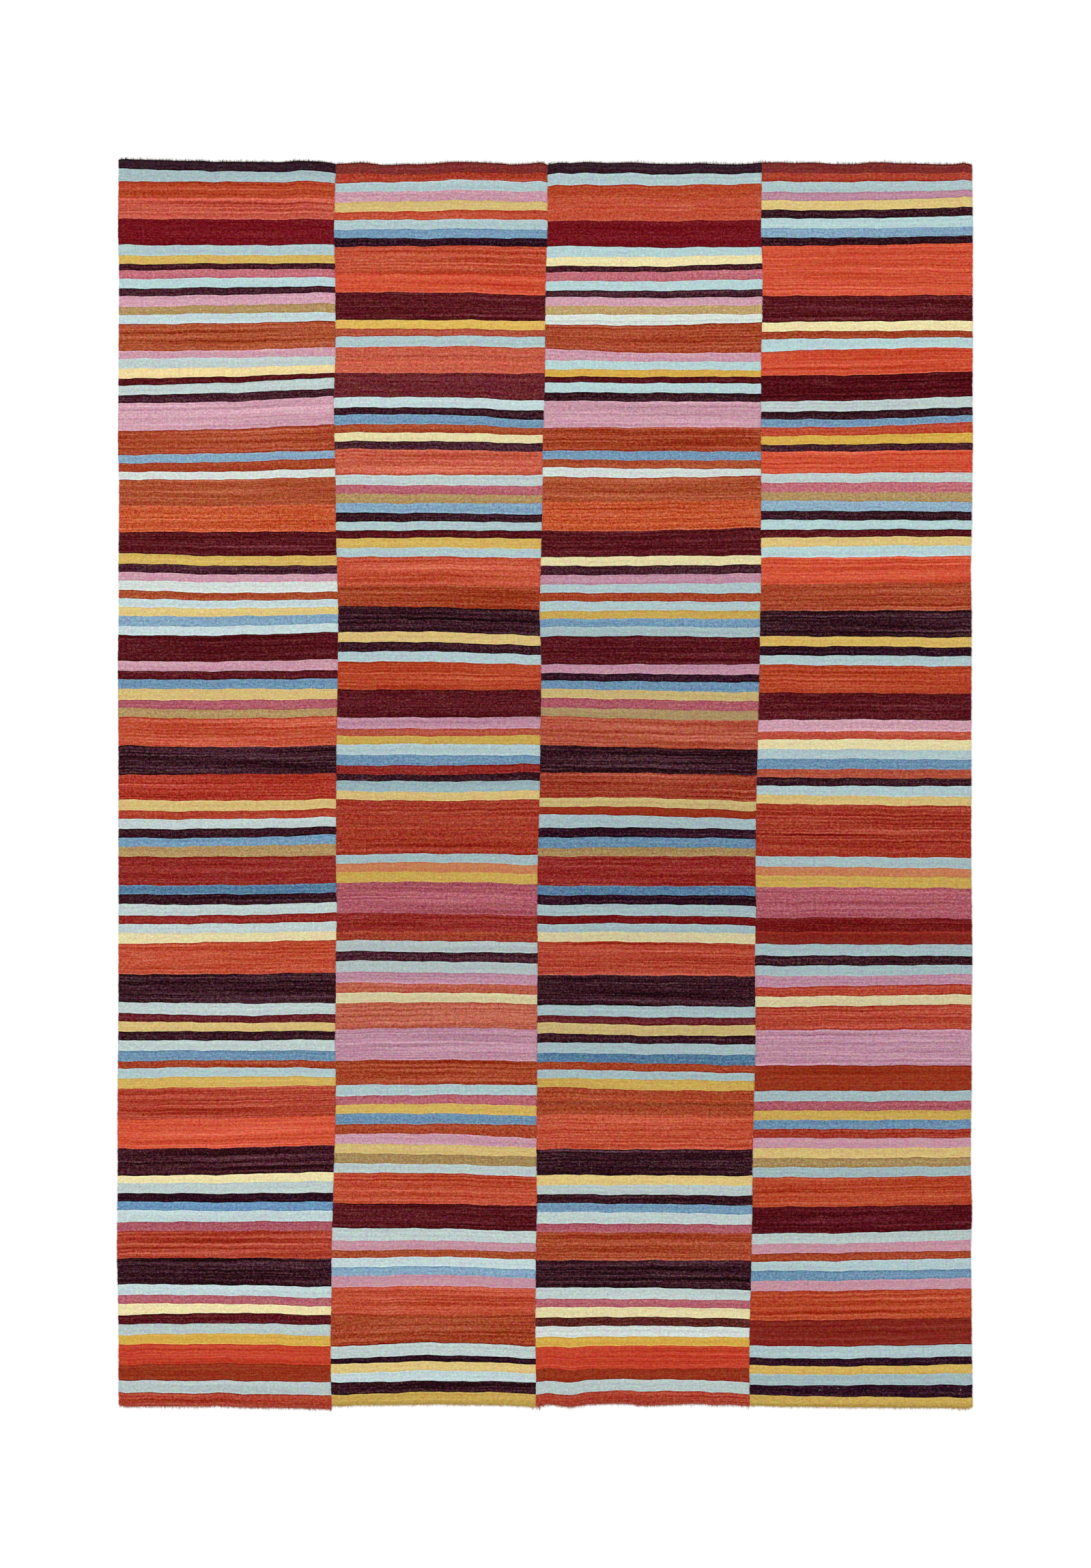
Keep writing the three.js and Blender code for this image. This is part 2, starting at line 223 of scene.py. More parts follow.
# Where the random draws of each kind start.
WANDER_DRAW = 100
CORD_DRAW = 300
SEAM_DRAW = 400
HAIR_DRAW = 500
STITCH_DRAW = 700
LINT_DRAW = 800

# Longer tufts at a fell: strip, end, X and how far it stands out, in millimetres.
TUFTS = [
    ("strip_1", "bottom", -504, 7),
    ("strip_2", "bottom", -31, 8),
    ("strip_3", "bottom", -13, 11),
    ("strip_4", "bottom", 992, 7),
]

# Lint on the face: X, Y and length in millimetres, turn in degrees, how many hairs, how far they are
# spread, in millimetres, and the yarn that they came from.
LINT = [
    (-238, 204, 14, 32, 1, 0, "snow"),
    (466, -1395, 8, 20, 26, 4, "pink"),
    (643, -1420, 4, 10, 6, 1.5, "pale_ice"),
    (686, -1417, 4, -20, 5, 1.2, "pale_ice"),
    (805, -1433, 4, 15, 6, 1.4, "pale_straw"),
    (973, -1421, 4, 40, 5, 1.4, "pale_ice"),
    (773, -1019, 4, -10, 5, 1.5, "pink"),
]

# Wool yarns by the colour that they have in the photo's light, as red, green and blue from 0 to 255.
YARNS = {
    "aubergine": (57, 29, 37),
    "dark_aubergine": (47, 23, 34),
    "smoky_aubergine": (54, 33, 42),
    "red_aubergine": (67, 31, 39),
    "violet_aubergine": (71, 37, 47),
    "maroon": (87, 28, 33),
    "brown_maroon": (90, 41, 36),
    "dark_maroon": (81, 16, 27),
    "berry_maroon": (104, 40, 45),
    "oxblood": (114, 26, 33),
    "wine": (113, 29, 29),
    "crimson": (142, 45, 40),
    "brick": (152, 59, 41),
    "dusty_brick": (128, 51, 48),
    "orange_brick": (159, 57, 42),
    "red": (174, 68, 50),
    "madder": (170, 57, 43),
    "faded_red": (176, 83, 63),
    "bright_red": (196, 69, 48),
    "rust": (164, 70, 44),
    "brown_rust": (169, 80, 51),
    "brown": (150, 55, 34),
    "dark_brown": (131, 43, 35),
    "vermilion": (190, 79, 55),
    "bright_vermilion": (209, 84, 58),
    "burnt_vermilion": (177, 69, 43),
    "salmon": (192, 85, 68),
    "orange": (194, 85, 50),
    "coral": (196, 92, 70),
    "dusty_coral": (185, 96, 76),
    "peach": (197, 126, 87),
    "gold": (211, 177, 95),
    "bright_gold": (221, 182, 92),
    "rich_gold": (216, 173, 79),
    "deep_gold": (199, 165, 84),
    "pale_straw": (228, 216, 167),
    "cream_straw": (239, 226, 173),
    "straw": (240, 218, 158),
    "ripe_straw": (222, 196, 128),
    "beige_straw": (212, 200, 157),
    "dark_straw": (213, 186, 121),
    "dull_straw": (198, 175, 117),
    "olive": (177, 146, 98),
    "bright_olive": (193, 164, 112),
    "dark_olive": (166, 137, 91),
    "tan": (170, 143, 101),
    "sky": (175, 198, 200),
    "clear_sky": (183, 211, 212),
    "grey_sky": (176, 189, 189),
    "deep_sky": (163, 185, 188),
    "dusky_sky": (150, 175, 181),
    "misty_sky": (184, 199, 197),
    "ice": (191, 206, 204),
    "clear_ice": (196, 215, 216),
    "pale_ice": (211, 220, 215),
    "snow": (218, 228, 220),
    "denim": (117, 153, 181),
    "pale_denim": (134, 167, 192),
    "light_denim": (144, 175, 196),
    "blue": (110, 145, 173),
    "clear_blue": (108, 149, 186),
    "deep_blue": (102, 136, 163),
    "steel": (88, 125, 155),
    "rose": (181, 101, 111),
    "bright_rose": (192, 110, 120),
    "deep_rose": (171, 90, 101),
    "lilac": (202, 153, 168),
    "bright_lilac": (209, 160, 175),
    "mauve": (188, 139, 158),
    "pink": (198, 147, 161),
}

# The two orders of stripes, charted down the rug. A row is one stripe: its yarn on the strip
# further left and the Y in millimetres where it ends there, near the strip's left side, in the
# middle and near its right side, and then the same on the strip further right.
ORDER_OF_STRIPS_1_AND_3 = [
    ("smoky_aubergine", 1440, 1434, 1434, "smoky_aubergine", 1430, 1428, 1428),
    ("deep_sky", 1411, 1410, 1410, "sky", 1403, 1402, 1404),
    ("burnt_vermilion", 1372, 1372, 1371, "burnt_vermilion", 1372, 1371, 1371),
    ("salmon", 1323, 1322, 1322, "vermilion", 1319, 1318, 1320),
    ("oxblood", 1262, 1261, 1263, "oxblood", 1260, 1256, 1257),
    ("sky", 1237, 1238, 1238, "clear_sky", 1234, 1234, 1238),
    ("gold", 1217, 1219, 1219, "cream_straw", 1214, 1212, 1218),
    ("red_aubergine", 1202, 1205, 1205, "red_aubergine", 1199, 1199, 1204),
    ("bright_rose", 1182, 1185, 1186, "bright_rose", 1178, 1177, 1181),
    ("clear_sky", 1160, 1163, 1165, "clear_sky", 1156, 1155, 1158),
    ("violet_aubergine", 1142, 1145, 1150, "violet_aubergine", 1141, 1138, 1140),
    ("bright_lilac", 1117, 1121, 1125, "bright_lilac", 1120, 1119, 1121),
    ("olive", 1098, 1102, 1104, "bright_olive", 1099, 1099, 1100),
    ("clear_ice", 1077, 1079, 1084, "snow", 1076, 1074, 1080),
    ("brown_rust", 1014, 1015, 1022, "rust", 1018, 1009, 1010),
    ("lilac", 996, 998, 1001, "lilac", 992, 989, 989),
    ("ice", 973, 975, 981, "clear_sky", 971, 970, 969),
    ("straw", 950, 954, 962, "rich_gold", 954, 953, 954),
    ("maroon", 933, 939, 950, "maroon", 940, 938, 938),
    ("ice", 911, 916, 925, "clear_sky", 917, 916, 915),
    ("violet_aubergine", 892, 895, 907, "aubergine", 897, 895, 895),
    ("bright_lilac", 827, 831, 841, "lilac", 834, 835, 835),
    ("rust", 770, 774, 780, "rust", 780, 779, 778),
    ("pale_denim", 751, 754, 762, "denim", 760, 758, 758),
    ("rust", 731, 731, 738, "brown_rust", 741, 738, 738),
    ("pale_ice", 713, 713, 719, "pale_ice", 719, 717, 721),
    ("brown_rust", 652, 650, 655, "brown_rust", 660, 662, 664),
    ("orange", 590, 590, 591, "orange", 592, 593, 599),
    ("maroon", 540, 533, 535, "maroon", 530, 533, 534),
    ("gold", 516, 511, 512, "pale_straw", 510, 511, 513),
    ("violet_aubergine", 496, 490, 492, "violet_aubergine", 488, 490, 492),
    ("lilac", 476, 472, 474, "mauve", 466, 468, 470),
    ("pale_ice", 454, 447, 450, "sky", 447, 447, 446),
    ("brown_rust", 434, 429, 432, "rust", 427, 427, 426),
    ("clear_ice", 414, 411, 414, "sky", 404, 406, 405),
    ("ripe_straw", 393, 392, 397, "deep_gold", 386, 387, 386),
    ("pale_denim", 369, 369, 375, "denim", 367, 368, 365),
    ("clear_ice", 348, 348, 355, "deep_sky", 345, 346, 343),
    ("maroon", 287, 286, 291, "maroon", 279, 279, 279),
    ("lilac", 264, 264, 266, "mauve", 259, 257, 255),
    ("maroon", 244, 244, 246, "dark_aubergine", 241, 239, 237),
    ("blue", 222, 222, 222, "blue", 222, 218, 214),
    ("dark_straw", 196, 196, 198, "dull_straw", 201, 197, 193),
    ("deep_rose", 177, 173, 176, "deep_rose", 178, 174, 170),
    ("olive", 156, 153, 158, "tan", 158, 151, 148),
    ("vermilion", 89, 86, 89, "faded_red", 90, 84, 80),
    ("aubergine", 20, 22, 23, "aubergine", 26, 24, 20),
    ("madder", -38, -40, -37, "brick", -33, -34, -41),
    ("dark_straw", -63, -64, -59, "dull_straw", -54, -55, -63),
    ("red", -83, -83, -79, "brown", -72, -76, -82),
    ("ice", -106, -105, -101, "deep_sky", -103, -103, -107),
    ("aubergine", -127, -127, -120, "dark_aubergine", -126, -126, -129),
    ("denim", -148, -146, -142, "deep_blue", -151, -149, -151),
    ("olive", -171, -171, -169, "dark_olive", -170, -170, -170),
    ("crimson", -238, -238, -234, "crimson", -239, -240, -240),
    ("steel", -259, -259, -256, "steel", -261, -261, -262),
    ("aubergine", -282, -284, -279, "dark_aubergine", -284, -283, -286),
    ("ice", -309, -308, -303, "deep_sky", -309, -309, -312),
    ("crimson", -329, -328, -324, "wine", -329, -328, -332),
    ("ice", -350, -350, -346, "deep_sky", -348, -348, -351),
    ("pale_straw", -375, -371, -367, "beige_straw", -370, -371, -375),
    ("vermilion", -446, -446, -443, "red", -448, -449, -451),
    ("aubergine", -512, -515, -514, "aubergine", -519, -521, -523),
    ("ice", -537, -543, -539, "deep_sky", -543, -547, -548),
    ("berry_maroon", -557, -560, -559, "berry_maroon", -560, -566, -566),
    ("dark_straw", -580, -580, -579, "dull_straw", -585, -590, -590),
    ("aubergine", -601, -602, -600, "aubergine", -607, -609, -611),
    ("ice", -625, -625, -625, "deep_sky", -631, -634, -635),
    ("blue", -650, -648, -649, "steel", -652, -655, -660),
    ("rust", -667, -665, -667, "rust", -670, -674, -678),
    ("sky", -690, -686, -687, "deep_sky", -690, -693, -696),
    ("gold", -714, -711, -707, "deep_gold", -711, -718, -719),
    ("red", -787, -785, -778, "rust", -775, -777, -778),
    ("bright_vermilion", -855, -853, -847, "vermilion", -856, -857, -857),
    ("red_aubergine", -919, -916, -910, "aubergine", -917, -918, -919),
    ("cream_straw", -936, -935, -931, "ripe_straw", -941, -940, -941),
    ("ice", -959, -960, -958, "misty_sky", -962, -963, -965),
    ("dark_aubergine", -979, -981, -979, "aubergine", -983, -985, -988),
    ("clear_blue", -999, -1001, -1000, "denim", -1004, -1005, -1009),
    ("clear_ice", -1027, -1026, -1025, "ice", -1031, -1031, -1033),
    ("deep_rose", -1048, -1048, -1047, "deep_rose", -1051, -1052, -1053),
    ("red", -1112, -1111, -1113, "rust", -1117, -1117, -1117),
    ("aubergine", -1173, -1175, -1179, "aubergine", -1181, -1182, -1186),
    ("clear_ice", -1198, -1199, -1205, "ice", -1207, -1208, -1210),
    ("rose", -1219, -1219, -1225, "rose", -1227, -1227, -1230),
    ("cream_straw", -1245, -1240, -1245, "pale_straw", -1251, -1250, -1253),
    ("maroon", -1267, -1265, -1268, "brown_maroon", -1272, -1271, -1274),
    ("misty_sky", -1292, -1288, -1294, "pale_ice", -1297, -1296, -1297),
    ("rich_gold", -1314, -1313, -1318, "rich_gold", -1320, -1317, -1319),
    ("bright_red", -1362, -1358, -1362, "bright_red", -1372, -1372, -1369),
    ("brown", -1399, -1399, -1402, "brown", -1402, -1397, -1402),
    ("misty_sky", -1427, -1428, -1432, "misty_sky", -1431, -1424, -1429),
    ("red", -1460, -1458, -1462, "red", -1457, -1454, -1456),
]
ORDER_OF_STRIPS_2_AND_4 = [
    ("dusty_brick", 1430, 1430, 1429, "dusty_brick", 1431, 1431, 1431),
    ("red", 1408, 1413, 1410, "red", 1411, 1411, 1413),
    ("sky", 1387, 1390, 1387, "sky", 1387, 1387, 1391),
    ("lilac", 1363, 1366, 1363, "mauve", 1367, 1367, 1374),
    ("dark_straw", 1340, 1343, 1343, "ripe_straw", 1345, 1345, 1351),
    ("vermilion", 1321, 1322, 1321, "aubergine", 1325, 1325, 1330),
    ("sky", 1298, 1300, 1298, "clear_sky", 1302, 1302, 1305),
    ("denim", 1279, 1278, 1278, "pale_denim", 1280, 1280, 1284),
    ("dark_aubergine", 1258, 1260, 1258, "aubergine", 1260, 1262, 1266),
    ("vermilion", 1196, 1197, 1193, "bright_vermilion", 1196, 1197, 1193),
    ("bright_vermilion", 1151, 1151, 1145, "bright_vermilion", 1143, 1143, 1145),
    ("maroon", 1086, 1086, 1084, "maroon", 1081, 1083, 1085),
    ("bright_gold", 1066, 1066, 1063, "cream_straw", 1060, 1061, 1062),
    ("faded_red", 1047, 1049, 1047, "rust", 1042, 1043, 1046),
    ("sky", 1022, 1025, 1022, "clear_sky", 1013, 1019, 1022),
    ("coral", 962, 962, 961, "bright_vermilion", 957, 958, 966),
    ("berry_maroon", 905, 905, 898, "dark_maroon", 896, 898, 907),
    ("clear_ice", 881, 881, 875, "ice", 872, 874, 882),
    ("aubergine", 864, 864, 853, "aubergine", 854, 854, 863),
    ("denim", 841, 842, 834, "denim", 835, 837, 847),
    ("brown_rust", 822, 822, 817, "vermilion", 814, 817, 822),
    ("pale_straw", 802, 802, 798, "rich_gold", 794, 796, 799),
    ("violet_aubergine", 784, 782, 778, "violet_aubergine", 778, 779, 782),
    ("coral", 723, 723, 723, "bright_vermilion", 726, 728, 729),
    ("ice", 700, 699, 698, "ice", 705, 706, 707),
    ("rose", 679, 678, 676, "bright_rose", 683, 683, 683),
    ("olive", 657, 657, 657, "olive", 663, 662, 660),
    ("pale_denim", 635, 634, 631, "light_denim", 639, 639, 638),
    ("aubergine", 613, 614, 612, "aubergine", 618, 617, 617),
    ("sky", 593, 594, 593, "clear_sky", 595, 596, 596),
    ("maroon", 574, 576, 574, "maroon", 576, 578, 579),
    ("gold", 552, 553, 550, "ripe_straw", 554, 557, 558),
    ("sky", 531, 532, 529, "clear_sky", 530, 531, 534),
    ("vermilion", 465, 466, 462, "bright_vermilion", 466, 470, 471),
    ("rust", 416, 413, 408, "rust", 405, 406, 406),
    ("aubergine", 355, 355, 347, "aubergine", 345, 344, 342),
    ("dark_straw", 332, 331, 324, "gold", 322, 322, 319),
    ("aubergine", 309, 309, 302, "dark_aubergine", 300, 300, 298),
    ("sky", 286, 285, 279, "sky", 279, 277, 275),
    ("burnt_vermilion", 221, 220, 220, "burnt_vermilion", 213, 212, 211),
    ("maroon", 155, 155, 156, "maroon", 149, 150, 148),
    ("mauve", 129, 129, 129, "bright_lilac", 122, 123, 122),
    ("faded_red", 112, 111, 113, "salmon", 103, 104, 102),
    ("deep_gold", 92, 93, 91, "pale_straw", 81, 80, 78),
    ("sky", 68, 67, 66, "sky", 58, 58, 56),
    ("blue", 43, 43, 46, "blue", 34, 34, 33),
    ("crimson", 23, 21, 26, "faded_red", 15, 13, 12),
    ("aubergine", 7, 5, 7, "aubergine", -5, -6, -6),
    ("dusky_sky", -17, -20, -16, "sky", -26, -29, -31),
    ("dark_straw", -37, -40, -37, "dark_straw", -47, -50, -52),
    ("orange_brick", -167, -164, -167, "orange_brick", -170, -172, -174),
    ("deep_sky", -187, -184, -190, "deep_sky", -194, -196, -199),
    ("peach", -207, -207, -211, "peach", -215, -217, -220),
    ("deep_gold", -232, -230, -235, "deep_gold", -242, -243, -245),
    ("deep_rose", -303, -305, -309, "deep_rose", -315, -314, -317),
    ("crimson", -346, -347, -349, "wine", -346, -347, -346),
    ("brick", -367, -369, -371, "dark_brown", -376, -377, -377),
    ("grey_sky", -392, -395, -396, "deep_sky", -403, -403, -404),
    ("violet_aubergine", -415, -417, -420, "aubergine", -427, -426, -425),
    ("grey_sky", -441, -443, -446, "deep_sky", -450, -450, -446),
    ("mauve", -466, -469, -471, "mauve", -477, -473, -470),
    ("dusty_coral", -490, -490, -493, "red", -499, -497, -494),
    ("beige_straw", -514, -512, -515, "beige_straw", -523, -520, -517),
    ("dusty_coral", -576, -572, -575, "red", -577, -577, -576),
    ("mauve", -649, -647, -650, "mauve", -660, -660, -660),
    ("rust", -706, -705, -706, "brown", -720, -720, -719),
    ("sky", -732, -729, -730, "deep_sky", -744, -744, -743),
    ("rose", -752, -750, -754, "deep_rose", -766, -766, -765),
    ("gold", -773, -773, -778, "deep_gold", -788, -788, -787),
    ("blue", -798, -797, -799, "blue", -809, -809, -809),
    ("rust", -821, -821, -830, "orange_brick", -830, -831, -830),
    ("lilac", -844, -846, -852, "pink", -854, -854, -852),
    ("dark_straw", -866, -869, -873, "dark_straw", -877, -877, -875),
    ("dark_olive", -890, -892, -897, "dark_olive", -899, -899, -896),
    ("misty_sky", -912, -913, -920, "deep_sky", -922, -922, -918),
    ("vermilion", -984, -985, -989, "burnt_vermilion", -992, -990, -986),
    ("maroon", -1042, -1043, -1049, "dark_maroon", -1054, -1052, -1045),
    ("ice", -1071, -1071, -1077, "misty_sky", -1078, -1076, -1069),
    ("pink", -1094, -1092, -1097, "pink", -1101, -1098, -1094),
    ("brown_rust", -1112, -1109, -1115, "rust", -1120, -1117, -1112),
    ("clear_ice", -1133, -1131, -1138, "sky", -1141, -1141, -1137),
    ("pale_denim", -1154, -1151, -1159, "blue", -1165, -1163, -1158),
    ("pink", -1180, -1177, -1183, "pink", -1189, -1187, -1183),
    ("vermilion", -1244, -1246, -1244, "burnt_vermilion", -1258, -1255, -1252),
    ("rust", -1318, -1310, -1318, "dark_brown", -1318, -1318, -1314),
    ("ice", -1346, -1339, -1346, "sky", -1346, -1346, -1342),
    ("dark_aubergine", -1359, -1354, -1360, "dark_aubergine", -1364, -1365, -1361),
    ("ripe_straw", -1381, -1375, -1381, "gold", -1384, -1384, -1382),
    ("clear_ice", -1402, -1399, -1402, "deep_sky", -1410, -1409, -1409),
    ("aubergine", -1431, -1425, -1429, "dark_aubergine", -1434, -1437, -1439),
    ("deep_gold", -1457, -1454, -1458, "deep_gold", -1458, -1460, -1462),
]
CHART_SHIFT = (1.6, 0.14)   # from the chart's zero to the rug's middle, in millimetres

# Each strip with its order of stripes, the half of the chart's rows that it has, and the X in
# millimetres at which its left, middle and right marks were read.
STRIPS = [
    {"name": "strip_1", "order": ORDER_OF_STRIPS_1_AND_3, "half": 0, "read_at": (-970, -746, -526)},
    {"name": "strip_2", "order": ORDER_OF_STRIPS_2_AND_4, "half": 0, "read_at": (-454, -246, -53)},
    {"name": "strip_3", "order": ORDER_OF_STRIPS_1_AND_3, "half": 1, "read_at": (38, 246, 448)},
    {"name": "strip_4", "order": ORDER_OF_STRIPS_2_AND_4, "half": 1, "read_at": (538, 752, 966)},
]

# Light or dark rows of weft inside a stripe: strip, Y of the row's middle and its height in
# millimetres, and how much lighter or darker than the stripe it is.
STREAKS = [
    ("strip_1", 1369, 4, 0.30),
    ("strip_3", 1345, 3, 0.22),
    ("strip_3", 1335, 3, 0.18),
    ("strip_3", 1083, 3, -0.16),
    ("strip_2", 1002, 3, -0.20),
    ("strip_2", 987, 4, 0.22),
    ("strip_2", 966, 3, 0.20),
    ("strip_2", 946, 3, 0.25),
    ("strip_2", 920, 3, 0.22),
    ("strip_2", 189, 3, 0.25),
    ("strip_2", -78, 4, 0.22),
    ("strip_2", -105, 4, 0.26),
    ("strip_2", -125, 3, 0.22),
    ("strip_2", -154, 3, 0.24),
    ("strip_4", -152, 4, 0.16),
    ("strip_4", -349.5, 4, 0.45),
    ("strip_2", -350, 4, 0.28),
    ("strip_3", -741, 4, 0.26),
    ("strip_3", -752, 9, -0.22),
]

# The thin wandering of the weft lines: length of each wave across the rug, how far down the rug it
# takes to slide by one wave, and its height.
LINE_WAVES = [
    (23 * MM, 0.04, 0.13 * MM),
    (39 * MM, -0.07, 0.22 * MM),
    (62 * MM, 0.55, 0.32 * MM),
    (94 * MM, -0.40, 0.45 * MM),
    (148 * MM, 1.10, 0.50 * MM),
    (231 * MM, -1.60, 0.50 * MM),
]
END_FOLLOW = 110 * MM       # the lines follow the uneven fell over about this far into the rug

# The wandering of a seam to either side, and of the two outer edges: length and height of each wave.
SEAM_WAVES = [
    (6.8 * MM, 0.22 * MM),
    (15 * MM, 0.26 * MM),
    (43 * MM, 0.28 * MM),
]


def linear(colour):
    """A colour from 0 to 255 as the renderer's linear red, green and blue."""
    share = np.array(colour, float) / FULL_TONE
    return np.where(share <= 0.04045, share / 12.92, ((share + 0.055) / 1.055) ** 2.4)


def deselect_all():
    if bpy.context.object and bpy.context.object.mode != "OBJECT":
        bpy.ops.object.mode_set(mode="OBJECT")
    bpy.ops.object.select_all(action="DESELECT")


# The camera, the floor and the light.

def add_camera():
    data = bpy.data.cameras.new("camera")
    data.lens = LENS
    data.sensor_width = SENSOR
    camera = bpy.data.objects.new("camera", data)
    bpy.context.scene.collection.objects.link(camera)
    height = PIXELS_HIGH * PIXEL * LENS / SENSOR
    camera.location = (CAMERA_OVER[0], CAMERA_OVER[1], THICKNESS + height)
    data.clip_end = 3 * height
    bpy.context.scene.camera = camera


def add_floor():
    deselect_all()
    bpy.ops.mesh.primitive_plane_add(size=FLOOR_SIZE, location=(0, 0, -FLOOR_BELOW))
    floor = bpy.context.object
    floor.name = "floor"
    bpy.ops.object.transform_apply(location=True, rotation=True, scale=True)
    material = bpy.data.materials.new("white_floor")
    material.use_nodes = True
    shader = material.node_tree.nodes["Principled BSDF"]
    shader.inputs["Base Color"].default_value = FLOOR_WHITE
    shader.inputs["Roughness"].default_value = 0.9
    shader.inputs["Specular IOR Level"].default_value = 0.2
    floor.data.materials.append(material)


def add_area_light(name, place, size, power):
    data = bpy.data.lights.new(name, "AREA")
    data.shape = "SQUARE"
    data.size = size
    data.energy = power
    light = bpy.data.objects.new(name, data)
    bpy.context.scene.collection.objects.link(light)
    light.location = place
    light.rotation_mode = "QUATERNION"
    light.rotation_quaternion = (-light.location).to_track_quat("-Z", "Y")


def add_light():
    world = bpy.data.worlds.new("studio")
    world.use_nodes = True
    background = world.node_tree.nodes["Background"]
    background.inputs["Color"].default_value = STUDIO_WHITE
    background.inputs["Strength"].default_value = STUDIO_LIGHT
    bpy.context.scene.world = world
    add_area_light("key", **KEY_LIGHT)
    add_area_light("fill", **FILL_LIGHT)
    bpy.context.scene.view_settings.view_transform = "Standard"
    bpy.context.scene.view_settings.look = "None"


# Node groups that the materials share.

def new_group(name, inputs, outputs):
    group = bpy.data.node_groups.new(name, "ShaderNodeTree")
    for label, kind in inputs:
        group.interface.new_socket(name=label, in_out="INPUT", socket_type=kind)
    for label, kind in outputs:
        group.interface.new_socket(name=label, in_out="OUTPUT", socket_type=kind)
    given = group.nodes.new("NodeGroupInput")
    result = group.nodes.new("NodeGroupOutput")
    return group, given, result


def math_node(tree, operation, first, second=None, clamp=False):
    """A math node's output, from values or other outputs."""
    node = tree.nodes.new("ShaderNodeMath")
    node.operation = operation
    node.use_clamp = clamp
    for socket, value in zip(node.inputs, (first, second)):
        if isinstance(value, bpy.types.NodeSocket):
            tree.links.new(value, socket)
        elif value is not None:
            socket.default_value = value
    return node.outputs[0]


def vector_node(tree, operation, first, second):
    node = tree.nodes.new("ShaderNodeVectorMath")
    node.operation = operation
    for socket, value in zip(node.inputs, (first, second)):
        if isinstance(value, bpy.types.NodeSocket):
            tree.links.new(value, socket)
        else:
            socket.default_value = value
    return node.outputs[0]


def gamma_node(tree, colour, power):
    node = tree.nodes.new("ShaderNodeGamma")
    tree.links.new(colour, node.inputs["Color"])
    node.inputs["Gamma"].default_value = power
    return node.outputs[0]


def split_node(tree, vector):
    node = tree.nodes.new("ShaderNodeSeparateXYZ")
    tree.links.new(vector, node.inputs[0])
    return node.outputs


def noise_node(tree, vector, noise):
    """Noise around 0.5 on coordinates that are stretched by so much along each axis."""
    *stretch, detail = noise
    node = tree.nodes.new("ShaderNodeTexNoise")
    node.inputs["Scale"].default_value = 1
    node.inputs["Detail"].default_value = detail
    node.inputs["Roughness"].default_value = NOISE_ROUGHNESS
    tree.links.new(vector_node(tree, "MULTIPLY", vector, stretch), node.inputs["Vector"])
    return node.outputs


def weave_group():
    """Weft-faced plain weave: ribs over the warps, each crossed by picks, half a pick apart from
    one warp to the next."""
    group, given, result = new_group(
        "weft_faced_weave",
        [("Weave", "NodeSocketVector"), ("Pick Pitch", "NodeSocketFloat")],
        [("Height", "NodeSocketFloat"), ("Groove", "NodeSocketFloat")],
    )
    across, along, _ = split_node(group, given.outputs["Weave"])
    warp = math_node(group, "FRACT", across)
    rib = math_node(group, "SINE", math_node(group, "MULTIPLY", warp, math.pi))
    rib = math_node(group, "POWER", rib, RIB_ROUNDNESS)
    odd = math_node(group, "MODULO", math_node(group, "FLOOR", across), 2.0)
    count = math_node(group, "DIVIDE", along, given.outputs["Pick Pitch"])
    count = math_node(group, "ADD", count, math_node(group, "MULTIPLY", odd, 0.5))
    pick = math_node(group, "SINE", math_node(group, "MULTIPLY", math_node(group, "FRACT", count), math.pi))
    pick = math_node(group, "ADD", math_node(group, "MULTIPLY", pick, PICK_SHARE), 1 - PICK_SHARE)
    height = math_node(group, "MULTIPLY", rib, pick)
    group.links.new(height, result.inputs["Height"])
    group.links.new(math_node(group, "SUBTRACT", 1.0, rib), result.inputs["Groove"])
    return group


